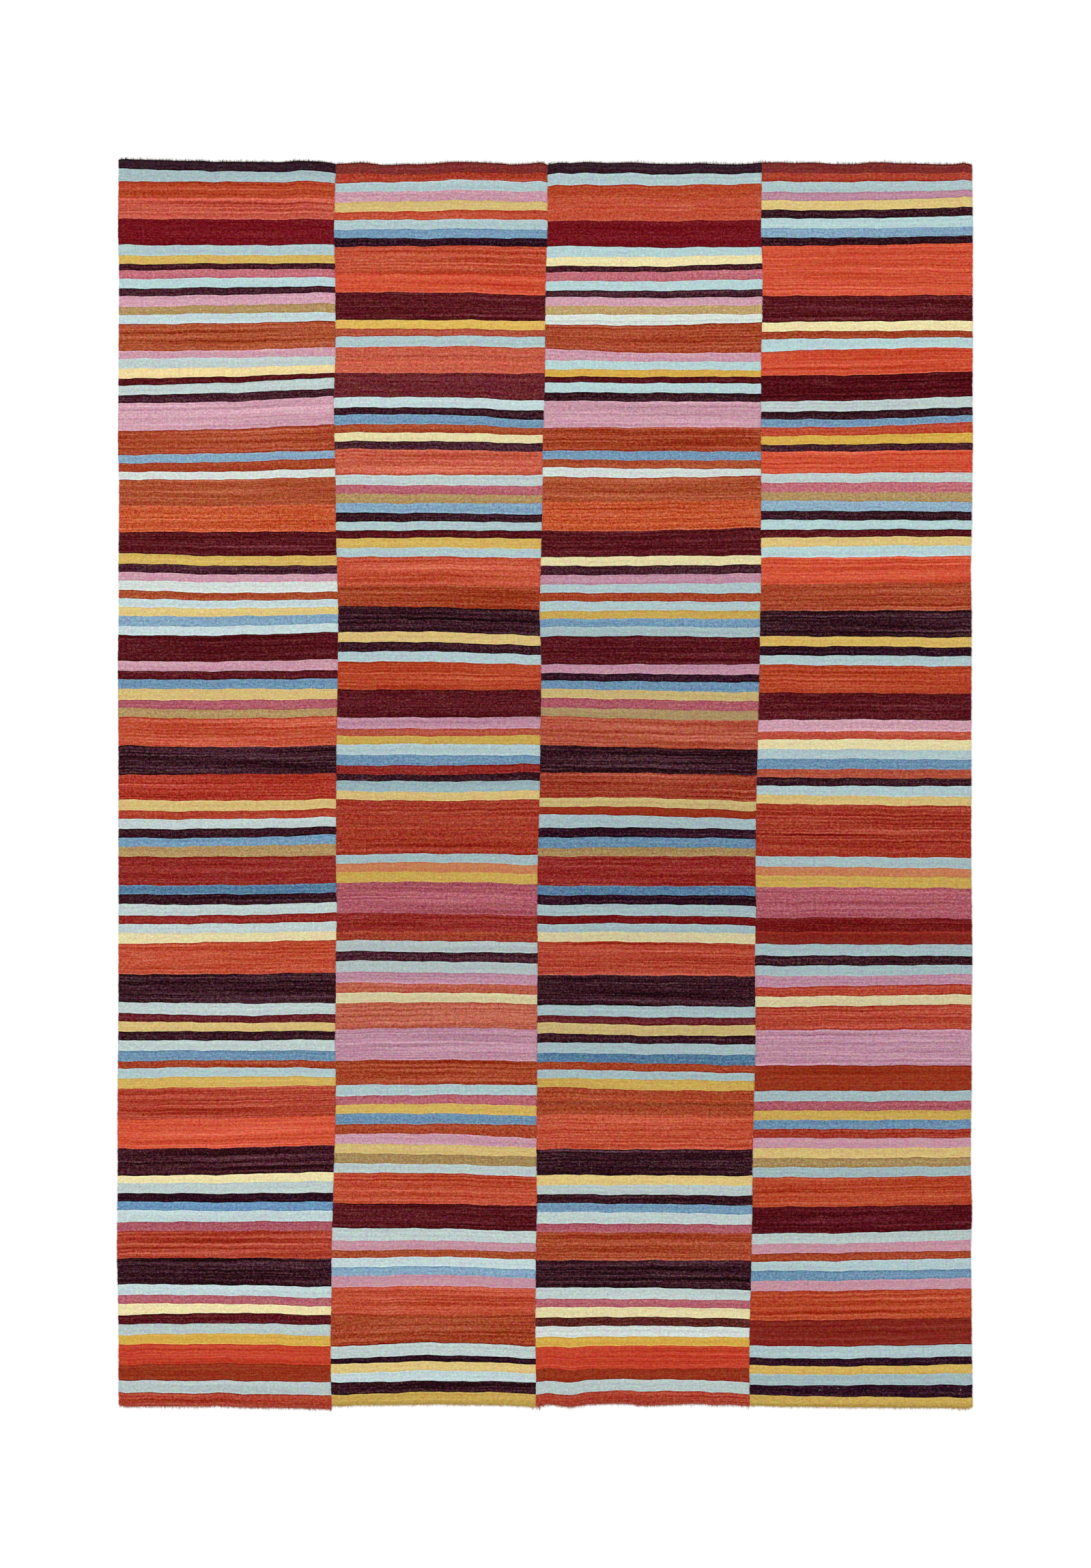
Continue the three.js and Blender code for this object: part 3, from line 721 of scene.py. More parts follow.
def abrash_and_painted_light_group():
    """Hand dyed, hand spun yarn. Each few picks are a little lighter or darker than the last, the
    fibre is mottled and grainy, and dots stand out along some picks, partly rubbed fibre tips and partly
    painted sheen of fibres that catch the light. The grooves between the ribs get painted shade. The first
    and last picks of a stripe are darker or lighter where they lock into the next one, and the last picks at
    the top fell get painted shade. All of it is added in tones as the eye sees them, so that it shows as
    much on dark yarns as on pale ones."""
    group, given, result = new_group(
        "abrash_and_painted_light",
        [("Color", "NodeSocketColor"), ("Weave", "NodeSocketVector"), ("Dye", "NodeSocketVector"),
         ("From Ends", "NodeSocketVector"), ("End Tones", "NodeSocketVector"),
         ("Groove", "NodeSocketFloat")],
        [("Color", "NodeSocketColor"), ("Fuzz", "NodeSocketFloat")],
    )
    weave = given.outputs["Weave"]
    streaked, grainy, flecked = split_node(group, given.outputs["Dye"])

    def swing(noise, reach):
        return math_node(group, "MULTIPLY", math_node(group, "SUBTRACT", noise, 0.5), reach)

    line = noise_node(group, weave, LINE_NOISE)["Fac"]
    band = noise_node(group, weave, BAND_NOISE)["Fac"]
    fibre = noise_node(group, weave, FIBRE_NOISE)["Fac"]
    fluff = noise_node(group, weave, FLUFF_NOISE)["Fac"]
    mottle = noise_node(group, weave, MOTTLE_NOISE)["Color"]
    rows = math_node(group, "ADD", swing(line, LINE_TONE), swing(band, BAND_TONE))
    rows = math_node(group, "MULTIPLY", rows, streaked)
    grain = math_node(group, "ADD", swing(fibre, FIBRE_TONE), swing(fluff, FLUFF_TONE))
    grain = math_node(group, "MULTIPLY", grain, grainy)
    tone = math_node(group, "ADD", rows, grain)
    # Painted shade: the grooves between the ribs are darker and the crests a little lighter, keeping the mean
    # tone.
    rib = math_node(group, "SUBTRACT", MEAN_GROOVE, given.outputs["Groove"])
    tone = math_node(group, "ADD", tone, math_node(group, "MULTIPLY", rib, RIB_GROOVE_SHADE))
    from_ends = split_node(group, given.outputs["From Ends"])[:2]
    end_tones = split_node(group, given.outputs["End Tones"])[:2]
    for distance, end_tone in zip(from_ends, end_tones):
        near = math_node(group, "DIVIDE", distance, END_PICKS)
        near = math_node(group, "SUBTRACT", 1.0, near)
        near = math_node(group, "MULTIPLY", near, END_STEEPNESS, clamp=True)
        tone = math_node(group, "ADD", tone, math_node(group, "MULTIPLY", near, end_tone))

    # Dots on the ribs' crests: rubbed fibre tips, and painted sheen where fibres catch the light.
    cell = vector_node(group, "SNAP", weave, (1.0, FLECK_HEIGHT, 1.0))
    chance = group.nodes.new("ShaderNodeTexWhiteNoise")
    chance.noise_dimensions = "3D"
    group.links.new(cell, chance.inputs["Vector"])
    dash = noise_node(group, weave, DASH_NOISE)["Fac"]
    worn_and_sheen = noise_node(group, weave, WORN_AND_SHEEN_NOISE)["Fac"]
    seen = math_node(group, "ADD", swing(dash, DASH_REACH), swing(worn_and_sheen, WORN_AND_SHEEN_REACH))
    seen = math_node(group, "ADD", seen, math_node(group, "SUBTRACT", chance.outputs["Value"], RAREST_FLECK))
    seen = math_node(group, "MULTIPLY", seen, FLECK_STEEPNESS, clamp=True)
    seen = math_node(group, "MULTIPLY", seen, math_node(group, "SUBTRACT", 1.0, given.outputs["Groove"]))
    seen = math_node(group, "MULTIPLY", seen, flecked)

    eye = gamma_node(group, given.outputs["Color"], 1 / EYE_GAMMA)
    hues = vector_node(group, "SUBTRACT", mottle, (0.5, 0.5, 0.5))
    hues = vector_node(group, "MULTIPLY", hues, (HUE_TONE,) * 3)
    eye = vector_node(group, "ADD", vector_node(group, "ADD", eye, hues), tone)
    show = group.nodes.new("ShaderNodeMix")
    show.data_type = "RGBA"
    group.links.new(seen, show.inputs["Factor"])
    group.links.new(vector_node(group, "MAXIMUM", eye, (DARKEST_TONE,) * 3), show.inputs[6])
    # The dots are mixed towards a pale pink: rubbed fibre tips and painted sheen.
    show.inputs[7].default_value = (*RUBBED_AND_SHEEN_WOOL, 1)
    group.links.new(gamma_node(group, show.outputs[2], EYE_GAMMA), result.inputs["Color"])
    group.links.new(fibre, result.inputs["Fuzz"])
    return group


def group_node(tree, group):
    node = tree.nodes.new("ShaderNodeGroup")
    node.node_tree = group
    return node


def attribute_node(tree, name):
    node = tree.nodes.new("ShaderNodeAttribute")
    node.attribute_name = name
    return node


def wool_material(name, weave, abrash_and_painted_light, relief):
    """A matt wool. Its yarn colour, how streaked its dye is and how flecked with rubbed tips and painted
    sheen, how far it is from the ends of its stripe, and the weave's own coordinates are attributes of the
    mesh."""
    material = bpy.data.materials.new(name)
    material.use_nodes = True
    tree = material.node_tree
    shader = tree.nodes["Principled BSDF"]
    coordinates = attribute_node(tree, "weave").outputs["Vector"]
    pattern = group_node(tree, weave)
    pattern.inputs["Pick Pitch"].default_value = PICK_PITCH
    tree.links.new(coordinates, pattern.inputs["Weave"])
    # The yarn's streaks, grain and mottle, with painted shade in the rib grooves and at the top fell, and
    # painted sheen in dots.
    dye = group_node(tree, abrash_and_painted_light)
    tree.links.new(coordinates, dye.inputs["Weave"])
    tree.links.new(attribute_node(tree, "yarn").outputs["Color"], dye.inputs["Color"])
    tree.links.new(attribute_node(tree, "dye").outputs["Vector"], dye.inputs["Dye"])
    tree.links.new(attribute_node(tree, "from_ends").outputs["Vector"], dye.inputs["From Ends"])
    tree.links.new(attribute_node(tree, "end_tones").outputs["Vector"], dye.inputs["End Tones"])
    tree.links.new(pattern.outputs["Groove"], dye.inputs["Groove"])
    bump = tree.nodes.new("ShaderNodeBump")
    bump.inputs["Strength"].default_value = 1.0
    bump.inputs["Distance"].default_value = relief
    fuzzy = math_node(tree, "MULTIPLY", dye.outputs["Fuzz"], FUZZ_SHARE)
    tree.links.new(math_node(tree, "ADD", pattern.outputs["Height"], fuzzy), bump.inputs["Height"])
    tree.links.new(bump.outputs["Normal"], shader.inputs["Normal"])
    tree.links.new(dye.outputs["Color"], shader.inputs["Base Color"])
    shader.inputs["Roughness"].default_value = 0.95
    shader.inputs["Specular IOR Level"].default_value = 0.06
    shader.inputs["Sheen Weight"].default_value = 0.02
    shader.inputs["Sheen Roughness"].default_value = 0.5
    return material


# The strips' outlines, from the frame, and the lines of weft across them, from the charts.

class Outline:
    """The two selvedges of a strip against Y and its two fells against X, in metres."""

    def __init__(self, node_name):
        low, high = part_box(node_name)
        rim = [v.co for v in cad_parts[node_name].data.vertices
               if RIM[0] * THICKNESS < v.co.z < RIM[1] * THICKNESS]
        middle = (low.x + high.x) / 2
        top = sorted({(p.x, p.y) for p in rim if p.y > high.y - NEAR_FELL})
        bottom = sorted({(p.x, p.y) for p in rim if p.y < low.y + NEAR_FELL})
        sides = [p for p in rim if low.y + NEAR_FELL < p.y < high.y - NEAR_FELL]
        left = sorted({(p.y, p.x) for p in sides if p.x < middle} | {bottom[0][::-1], top[0][::-1]})
        right = sorted({(p.y, p.x) for p in sides if p.x > middle} | {bottom[-1][::-1], top[-1][::-1]})
        self.left_rows = np.array(left)
        self.right_rows = np.array(right)
        self.top_rows = np.array(top) + (0, END_BAND)
        self.bottom_rows = np.array(bottom) - (0, END_BAND)

    def left(self, y):
        return np.interp(y, self.left_rows[:, 0], self.left_rows[:, 1])

    def right(self, y):
        return np.interp(y, self.right_rows[:, 0], self.right_rows[:, 1])

    def top(self, x):
        return np.interp(x, self.top_rows[:, 0], self.top_rows[:, 1])

    def bottom(self, x):
        return np.interp(x, self.bottom_rows[:, 0], self.bottom_rows[:, 1])

    def x_at(self, share, y):
        return self.left(y) + share * (self.right(y) - self.left(y))


def through_marks(read_at, marks, x):
    """Y on the smooth line through the three marks that were read on a stripe's end."""
    curve = np.polyfit(read_at, marks, 2)
    held = np.clip(x, read_at[0] - HELD_PAST, read_at[2] + HELD_PAST)
    return np.polyval(curve, held)


def wandering(strip_number, x, y):
    """How far a weft line wanders up or down at a place."""
    draw = random.Random(WANDER_DRAW + strip_number)
    total = 0 * x
    for length, slide, height in LINE_WAVES:
        start = draw.uniform(0, 2 * math.pi)
        total = total + height * np.sin(2 * math.pi * (x / length + y / slide) + start)
    return total


def weft_line(strip_number, outline, read_at, marks, share):
    """X and Y of the points at the given shares of the width along one line of weft."""
    middle_y = marks[1]
    x = outline.x_at(share, middle_y)
    y = through_marks(read_at, marks, x) + wandering(strip_number, x, middle_y)
    for fell in (outline.top, outline.bottom):
        plain = through_marks(read_at, [fell(place) for place in read_at], x)
        depth = abs(fell(read_at[1]) - middle_y)
        y = y + math.exp(-depth / END_FOLLOW) * (fell(x) - plain)
    return outline.x_at(share, y), y


def stripes_of(strip):
    """The strip's stripes down the rug: yarn, streak tint, and the marks on its lower end."""
    found = []
    for row in strip["order"]:
        columns = len(row) // 2
        yarn, *marks = row[:columns] if strip["half"] == 0 else row[columns:]
        found.append((yarn, 0.0, [(mark + CHART_SHIFT[1]) * MM for mark in marks]))
    return found


def with_streaks(strip, stripes, first_marks):
    """The stripes, with those that hold a streak cut into three or more."""
    cuts = [(y * MM, height * MM, tint) for name, y, height, tint in STREAKS if name == strip["name"]]
    done = []
    above = first_marks
    for yarn, tint, marks in stripes:
        inside = sorted((c for c in cuts if marks[1] < c[0] < above[1]), reverse=True)
        top, bottom = np.array(above), np.array(marks)
        for y, height, streak_tint in inside:
            for place, part_tint in ((y + height / 2, 0.0), (y - height / 2, streak_tint)):
                part = (top[1] - place) / (top[1] - bottom[1])
                done.append((yarn, part_tint, list(top + (bottom - top) * part)))
        done.append((yarn, tint, marks))
        above = marks
    return done


# How streaked, how grainy and how flecked the yarns are, the flecks being rubbed fibre and painted sheen. The
# last word of a yarn's name is its family, and a yarn with no row of its own is dyed as its family is.
DYE = {
    "aubergine": (1.2, 1.3, 0.18),
    "smoky_aubergine": (0.6, 0.7, 0.06),
    "maroon": (0.8, 1.1, 0.20),
    "oxblood": (0.4, 1.0, 0.08),
    "wine": (1.1, 1.0, 0.14),
    "crimson": (0.8, 1.05, 0.20),
    "orange": (0.9, 1.3, 0.34),
    "vermilion": (1.1, 1.0, 0.30),
    "bright_vermilion": (0.9, 0.8, 0.16),
    "burnt_vermilion": (1.0, 0.9, 0.14),
    "rust": (1.1, 1.1, 0.14),
    "coral": (0.9, 1.1, 0.26),
    "salmon": (1.1, 1.0, 0.16),
    "red": (1.2, 1.0, 0.16),
    "bright_red": (0.6, 0.6, 0.06),
    "madder": (1.2, 1.1, 0.16),
    "brick": (1.3, 1.1, 0.16),
    "dusty_brick": (0.5, 0.7, 0.05),
    "steel": (0.9, 1.1, 0.10),
    "denim": (0.8, 1.0, 0.08),
    "blue": (0.8, 1.0, 0.06),
    "rose": (0.8, 1.1, 0.08),
    "lilac": (0.8, 0.9, 0.03),
    "mauve": (1.0, 0.85, 0.04),
    "olive": (0.6, 1.0, 0.05),
    "gold": (0.6, 0.65, 0.03),
    "sky": (0.5, 0.65, 0.0),
    "ice": (0.6, 0.7, 0.0),
    "plain": (0.5, 0.65, 0.03),
}


def dye_of(yarn):
    return DYE.get(yarn) or DYE.get(yarn.split("_")[-1]) or DYE["plain"]


def dye_in(plan, row):
    """The dye of a band of faces. A narrow stripe comes from one hank, so it is calmer."""
    streaked, grainy, flecked = dye_of(plan.bands[row][0])
    height = plan.middles[plan.first_row[row]] - plan.middles[plan.last_row[row]]
    return streaked * min(max(height / FULLY_STREAKED, LEAST_STREAKED), 1), grainy, flecked


def across_strip(outline):
    """Shares of the width at which the face has a column of points, and each one's height."""
    width = float(outline.right(0) - outline.left(0))
    warps = round(width / WARP_PITCH)
    edge = EDGE_INSET / width
    share = np.linspace(edge, 1 - edge, 2 * warps + 1)
    crest = np.arange(2 * warps + 1) % 2 == 1
    height = np.where(crest, THICKNESS, THICKNESS - RIB_RELIEF)
    height[[0, -1]] = THICKNESS / 2
    return share, height, crest, warps


class StripPlan:
    """The rows of points of one strip, from its top fell to its bottom one, and the bands of faces
    between them."""

    def __init__(self, number, strip):
        self.number = number
        self.name = strip["name"]
        self.outline = outline = Outline(self.name)
        self.read_at = [(x + CHART_SHIFT[0]) * MM for x in strip["read_at"]]
        self.share, self.height, self.crest, self.warps = across_strip(outline)
        top_marks = [float(outline.top(x)) for x in self.read_at]
        bottom_marks = [float(outline.bottom(x)) for x in self.read_at]
        stripes = with_streaks(strip, stripes_of(strip), top_marks)
        rows = [self.fell_row(outline.top, top_marks)]
        self.middles = [top_marks[1]]
        self.bands = []          # for the faces below each row: yarn, tint and the stripe's number
        above = top_marks
        for stripe, (yarn, tint, marks) in enumerate(stripes):
            last = stripe == len(stripes) - 1
            if last:
                marks = bottom_marks
            count = max(1, math.ceil((above[1] - marks[1]) / LONGEST_ROW))
            for step in range(1, count + 1):
                between = [a + (b - a) * step / count for a, b in zip(above, marks)]
                if step < count:
                    row = weft_line(number, outline, self.read_at, between, self.share)
                elif last:
                    row = self.fell_row(outline.bottom, bottom_marks)
                else:
                    x, y = weft_line(number, outline, self.read_at, between, self.share)
                    row = (x, y + np.where(self.crest, TOOTH, -TOOTH))
                rows.append(row)
                self.middles.append(between[1])
                self.bands.append((yarn, tint, stripe))
            above = marks
        self.x = np.array([row[0] for row in rows])
        self.y = np.array([row[1] for row in rows])
        self.middles = np.array(self.middles)
        number_of = np.array([band[2] for band in self.bands])
        self.first_row = np.searchsorted(number_of, number_of, side="left")
        self.last_row = np.searchsorted(number_of, number_of, side="right")

    def fell_row(self, fell, marks):
        x = self.outline.x_at(self.share, marks[1])
        y = fell(x)
        return self.outline.x_at(self.share, y), y

    def band_at(self, y, right):
        """The band that meets the left or right selvedge at a height."""
        lines = self.y[:, -1 if right else 0]
        row = int(np.searchsorted(-lines, -y)) - 1
        return self.bands[min(max(row, 0), len(self.bands) - 1)]

    def end_tones(self, row):
        """How much lighter or darker a band's first and last picks are, beside their neighbours'."""
        own = brightness(self.bands[row])
        tones = []
        for other in (self.first_row[row] - 1, self.last_row[row]):
            if 0 <= other < len(self.bands):
                step = END_CONTRAST * (own - brightness(self.bands[other]))
                tones.append(min(max(step, DARKEST_END), LIGHTEST_END))
            else:
                # Above the top band, painted shade darkens the very last picks at the top fell.
                tones.append(TOP_FELL_SHADE if other < 0 else 0.0)
        return tones


def band_colour(band):
    yarn, tint, _ = band
    return np.maximum(linear(YARNS[yarn]) * (1 + tint) / LIGHT_ON_CLOTH - FUZZ_LIFT, DARKEST_YARN)


def brightness(band):
    return sum(YARNS[band[0]]) / (3 * FULL_TONE)


def make_mesh_piece(name, points, faces, material):
    mesh = bpy.data.meshes.new(name)
    mesh.from_pydata([tuple(p) for p in points], [], faces)
    mesh.materials.append(material)
    mesh.polygons.foreach_set("use_smooth", [True] * len(mesh.polygons))
    mesh.update()
    piece = bpy.data.objects.new(name, mesh)
    bpy.context.scene.collection.objects.link(piece)
    return piece


def write_vectors(piece, name, domain, values):
    layer = piece.data.attributes.new(name, "FLOAT_VECTOR", domain)
    layer.data.foreach_set("vector", np.array(values, np.float32).ravel())


def write_yarn(piece, face_colours, face_dyes):
    """Stores each face's yarn colour, how streaked its dye is and how flecked with rubbed tips and painted
    sheen.
    """
    mesh = piece.data
    loops = np.array([p.loop_total for p in mesh.polygons])
    colour = np.ones((loops.sum(), 4), np.float32)
    colour[:, :3] = np.repeat(np.array(face_colours), loops, axis=0)
    layer = mesh.color_attributes.new("yarn", "FLOAT_COLOR", "CORNER")
    layer.data.foreach_set("color", colour.ravel())
    write_vectors(piece, "dye", "FACE", face_dyes)


def cloth_faces(rows, columns, under):
    """The faces of a closed sheet: the face, the underside, which has only some of its columns, and the
    two fells. Each comes with the row of the plan that it lies in and the side that it is on."""
    inner = len(under) - 2

    def face_point(row, column):
        return row * columns + column

    def under_point(row, place):
        if place in (0, len(under) - 1):
            return face_point(row, under[place])
        return rows * columns + row * inner + place - 1

    faces, band_rows, sides = [], [], []
    for row in range(rows - 1):
        for column in range(columns - 1):
            faces.append((face_point(row, column), face_point(row + 1, column),
                          face_point(row + 1, column + 1), face_point(row, column + 1)))
        for place in range(len(under) - 1):
            faces.append((under_point(row, place), under_point(row, place + 1),
                          under_point(row + 1, place + 1), under_point(row + 1, place)))
        sides += ["face"] * (columns - 1) + ["under"] * (len(under) - 1)
        band_rows += [row] * (columns + len(under) - 2)
    for row, turned in ((0, False), (rows - 1, True)):
        for place in range(len(under) - 1):
            rim = [face_point(row, column) for column in range(under[place], under[place + 1] + 1)]
            rim += [under_point(row, end) for end in (place + 1, place) if end not in (0, len(under) - 1)]
            faces.append(tuple(rim[::-1] if turned else rim))
            sides.append("fell")
            band_rows.append(min(row, rows - 2))
    return faces, band_rows, sides


def cloth_mesh(plan, material):
    """One strip's cloth as a closed sheet: the ribbed face, the plain underside and the two fells."""
    rows, columns = plan.x.shape
    under = list(range(0, columns - 1, COARSE)) + [columns - 1]
    inner = under[1:-1]
    waves = np.sin(2 * math.pi * (plan.x / SWELL_ACROSS + plan.middles[:, None] / SWELL_ALONG + plan.number))
    z = np.broadcast_to(plan.height, plan.x.shape).copy()
    z[:, 1:-1] += SWELL * (waves[:, 1:-1] - 1)
    face_points = np.dstack([plan.x, plan.y, z]).reshape(-1, 3)
    under_points = np.dstack([plan.x[:, inner], plan.y[:, inner], 0 * plan.x[:, inner]]).reshape(-1, 3)
    points = np.concatenate([face_points, under_points])
    row_of = np.concatenate([np.repeat(np.arange(rows), columns), np.repeat(np.arange(rows), len(inner))])
    column_of = np.concatenate([np.tile(np.arange(columns), rows), np.tile(inner, rows)])
    is_under = np.arange(len(points)) >= rows * columns
    faces, band_rows, sides = cloth_faces(rows, columns, under)
    piece = make_mesh_piece(f"{plan.name}_cloth", points, faces, material)

    colours = [band_colour(band) for band in plan.bands]
    dyes = [dye_in(plan, row) for row in range(len(plan.bands))]
    tones = [(*plan.end_tones(row), 0.0) for row in range(len(plan.bands))]
    write_yarn(piece, [colours[row] for row in band_rows], [dyes[row] for row in band_rows])
    write_vectors(piece, "end_tones", "FACE", [tones[row] for row in band_rows])
    depth = plan.number + UNDER_SEED * is_under
    write_vectors(piece, "weave", "POINT", np.column_stack([column_of / 2, plan.middles[row_of], depth]))

    corners = np.zeros(len(piece.data.loops), np.int32)
    piece.data.loops.foreach_get("vertex_index", corners)
    loops = np.array([len(face) for face in faces])
    band_row = np.repeat(band_rows, loops)
    row, column = row_of[corners], column_of[corners]
    y = plan.y[row, column]
    from_top = plan.y[plan.first_row[band_row], column] - y
    from_bottom = y - plan.y[plan.last_row[band_row], column]
    write_vectors(piece, "from_ends", "CORNER", np.column_stack([from_top, from_bottom, 0 * y]))
    unwrap_cloth(piece, plan, band_row, y, plan.share[column], np.repeat(sides, loops), is_under[corners])
    return piece


def unwrap_cloth(piece, plan, band_row, y, share, side, is_under):
    """Lays the face in three lengths on the upper part of the map and the underside below it."""
    top, bottom = plan.middles[0], plan.middles[-1]
    length = (top - bottom) / BAKE_COLUMNS
    band_middle = (plan.middles[band_row] + plan.middles[band_row + 1]) / 2
    part = np.clip(np.floor((top - band_middle) / length), 0, BAKE_COLUMNS - 1)
    base = np.where(side == "under", UNDERSIDE_ON_MAP[0], FACE_ON_MAP[0])
    tall = np.where(side == "under", UNDERSIDE_ON_MAP[1], FACE_ON_MAP[1])
    along = (top - y) / length - part
    across = (part + MAP_MARGIN + share * (1 - 2 * MAP_MARGIN)) / BAKE_COLUMNS
    drop = np.where((side == "fell") & is_under, FELL_ON_MAP, 0)
    upward = base + tall * (MAP_SPARE + (1 - along) * (1 - 2 * MAP_SPARE)) + drop
    layer = piece.data.uv_layers.new(name="OFBake")
    layer.data.foreach_set("uv", np.column_stack([across, upward]).astype(np.float32).ravel())


# The cord along each selvedge, with the weft turning round it.

def seam_wander(seam, y):
    """How far a seam, or an outer edge, lies to one side at Y. Both strips' cords follow it."""
    draw = random.Random(SEAM_DRAW + seam)
    aside = 0
    for length, height in SEAM_WAVES:
        aside += height * math.sin(2 * math.pi * (y / length + draw.random()))
    return aside


def selvedge_cord(plan, side, material):
    right = side == "right"
    edge = plan.outline.right if right else plan.outline.left
    inward = -1 if right else 1
    top, bottom = plan.y[0, -1 if right else 0], plan.y[-1, -1 if right else 0]
    rings = 2 * round((top - bottom) / CORD_TURN) + 1
    points, weave, faces, colours, dyes = [], [], [], [], []
    draw = random.Random(CORD_DRAW + 2 * plan.number + right)
    for ring in range(rings):
        y = top + (bottom - top) * ring / (rings - 1)
        radius = CORD_RADIUS * (draw.uniform(*CORD_CREST) if ring % 2 == 1 else CORD_NECK)
        if ring in (0, rings - 1):
            radius = CORD_RADIUS * CORD_TIP
        x = edge(y) + inward * (CORD_RADIUS - CORD_REACH) + seam_wander(plan.number + right, y)
        for corner in range(CORD_SIDES):
            angle = 2 * math.pi * corner / CORD_SIDES
            points.append((x + radius * math.cos(angle), y, THICKNESS / 2 + radius * math.sin(angle)))
            weave.append((corner / CORD_SIDES + RIB_TURN, y, plan.number + CORD_SEED))
    for ring in range(rings - 1):
        here = CORD_SIDES * ring
        band = plan.band_at((points[here][1] + points[here + CORD_SIDES][1]) / 2, right)
        for corner in range(CORD_SIDES):
            after = (corner + 1) % CORD_SIDES
            faces.append((here + corner, here + after, here + CORD_SIDES + after, here + CORD_SIDES + corner))
            # Painted shade: each cord face is a little darker than its stripe's yarn.
            colours.append(band_colour(band) * CORD_SHADE)
            dyes.append(dye_of(band[0]))
    faces.append(tuple(range(CORD_SIDES))[::-1])
    faces.append(tuple((rings - 1) * CORD_SIDES + corner for corner in range(CORD_SIDES)))
    colours += [band_colour(plan.bands[0]), band_colour(plan.bands[-1])]
    dyes += [DYE["plain"]] * 2
    piece = make_mesh_piece(f"{plan.name}_{side}_selvedge", points, faces, material)
    write_yarn(piece, colours, dyes)
    write_vectors(piece, "weave", "POINT", weave)
    return piece


# The cut ends of the warp and the loose hairs of the last picks.

class Strands:
    """Thin tapering three-sided strands of wool, gathered for one mesh."""

    def __init__(self):
        self.points, self.faces, self.colours = [], [], []

    def add(self, path, width, colour):
        """Adds one strand along a path."""
        first = len(self.points)
        for step, (x, y, z) in enumerate(path):
            radius = width / 2 * (1 - HAIR_TAPER * step / (len(path) - 1))
            for corner in range(3):
                angle = 2 * math.pi * corner / 3 + math.pi / 2
                self.points.append((x + radius * math.cos(angle), y, z + radius * math.sin(angle)))
        for step in range(len(path) - 1):
            here = first + 3 * step
            for corner in range(3):
                after = (corner + 1) % 3
                self.faces.append((here + corner, here + after, here + 3 + after, here + 3 + corner))
        last = first + 3 * (len(path) - 1)
        self.faces.append((first + 2, first + 1, first))
        self.faces.append((last, last + 1, last + 2))
        self.colours += [colour] * (3 * (len(path) - 1) + 2)

    def piece(self, name, depth, material):
        """The mesh of all the strands, with its fibre's noise taken at its own depth."""
        piece = make_mesh_piece(name, self.points, self.faces, material)
        write_yarn(piece, self.colours, [DYE["plain"]] * len(self.faces))
        write_vectors(piece, "weave", "POINT", [(x / WARP_PITCH, y, depth) for x, y, z in self.points])
        return piece


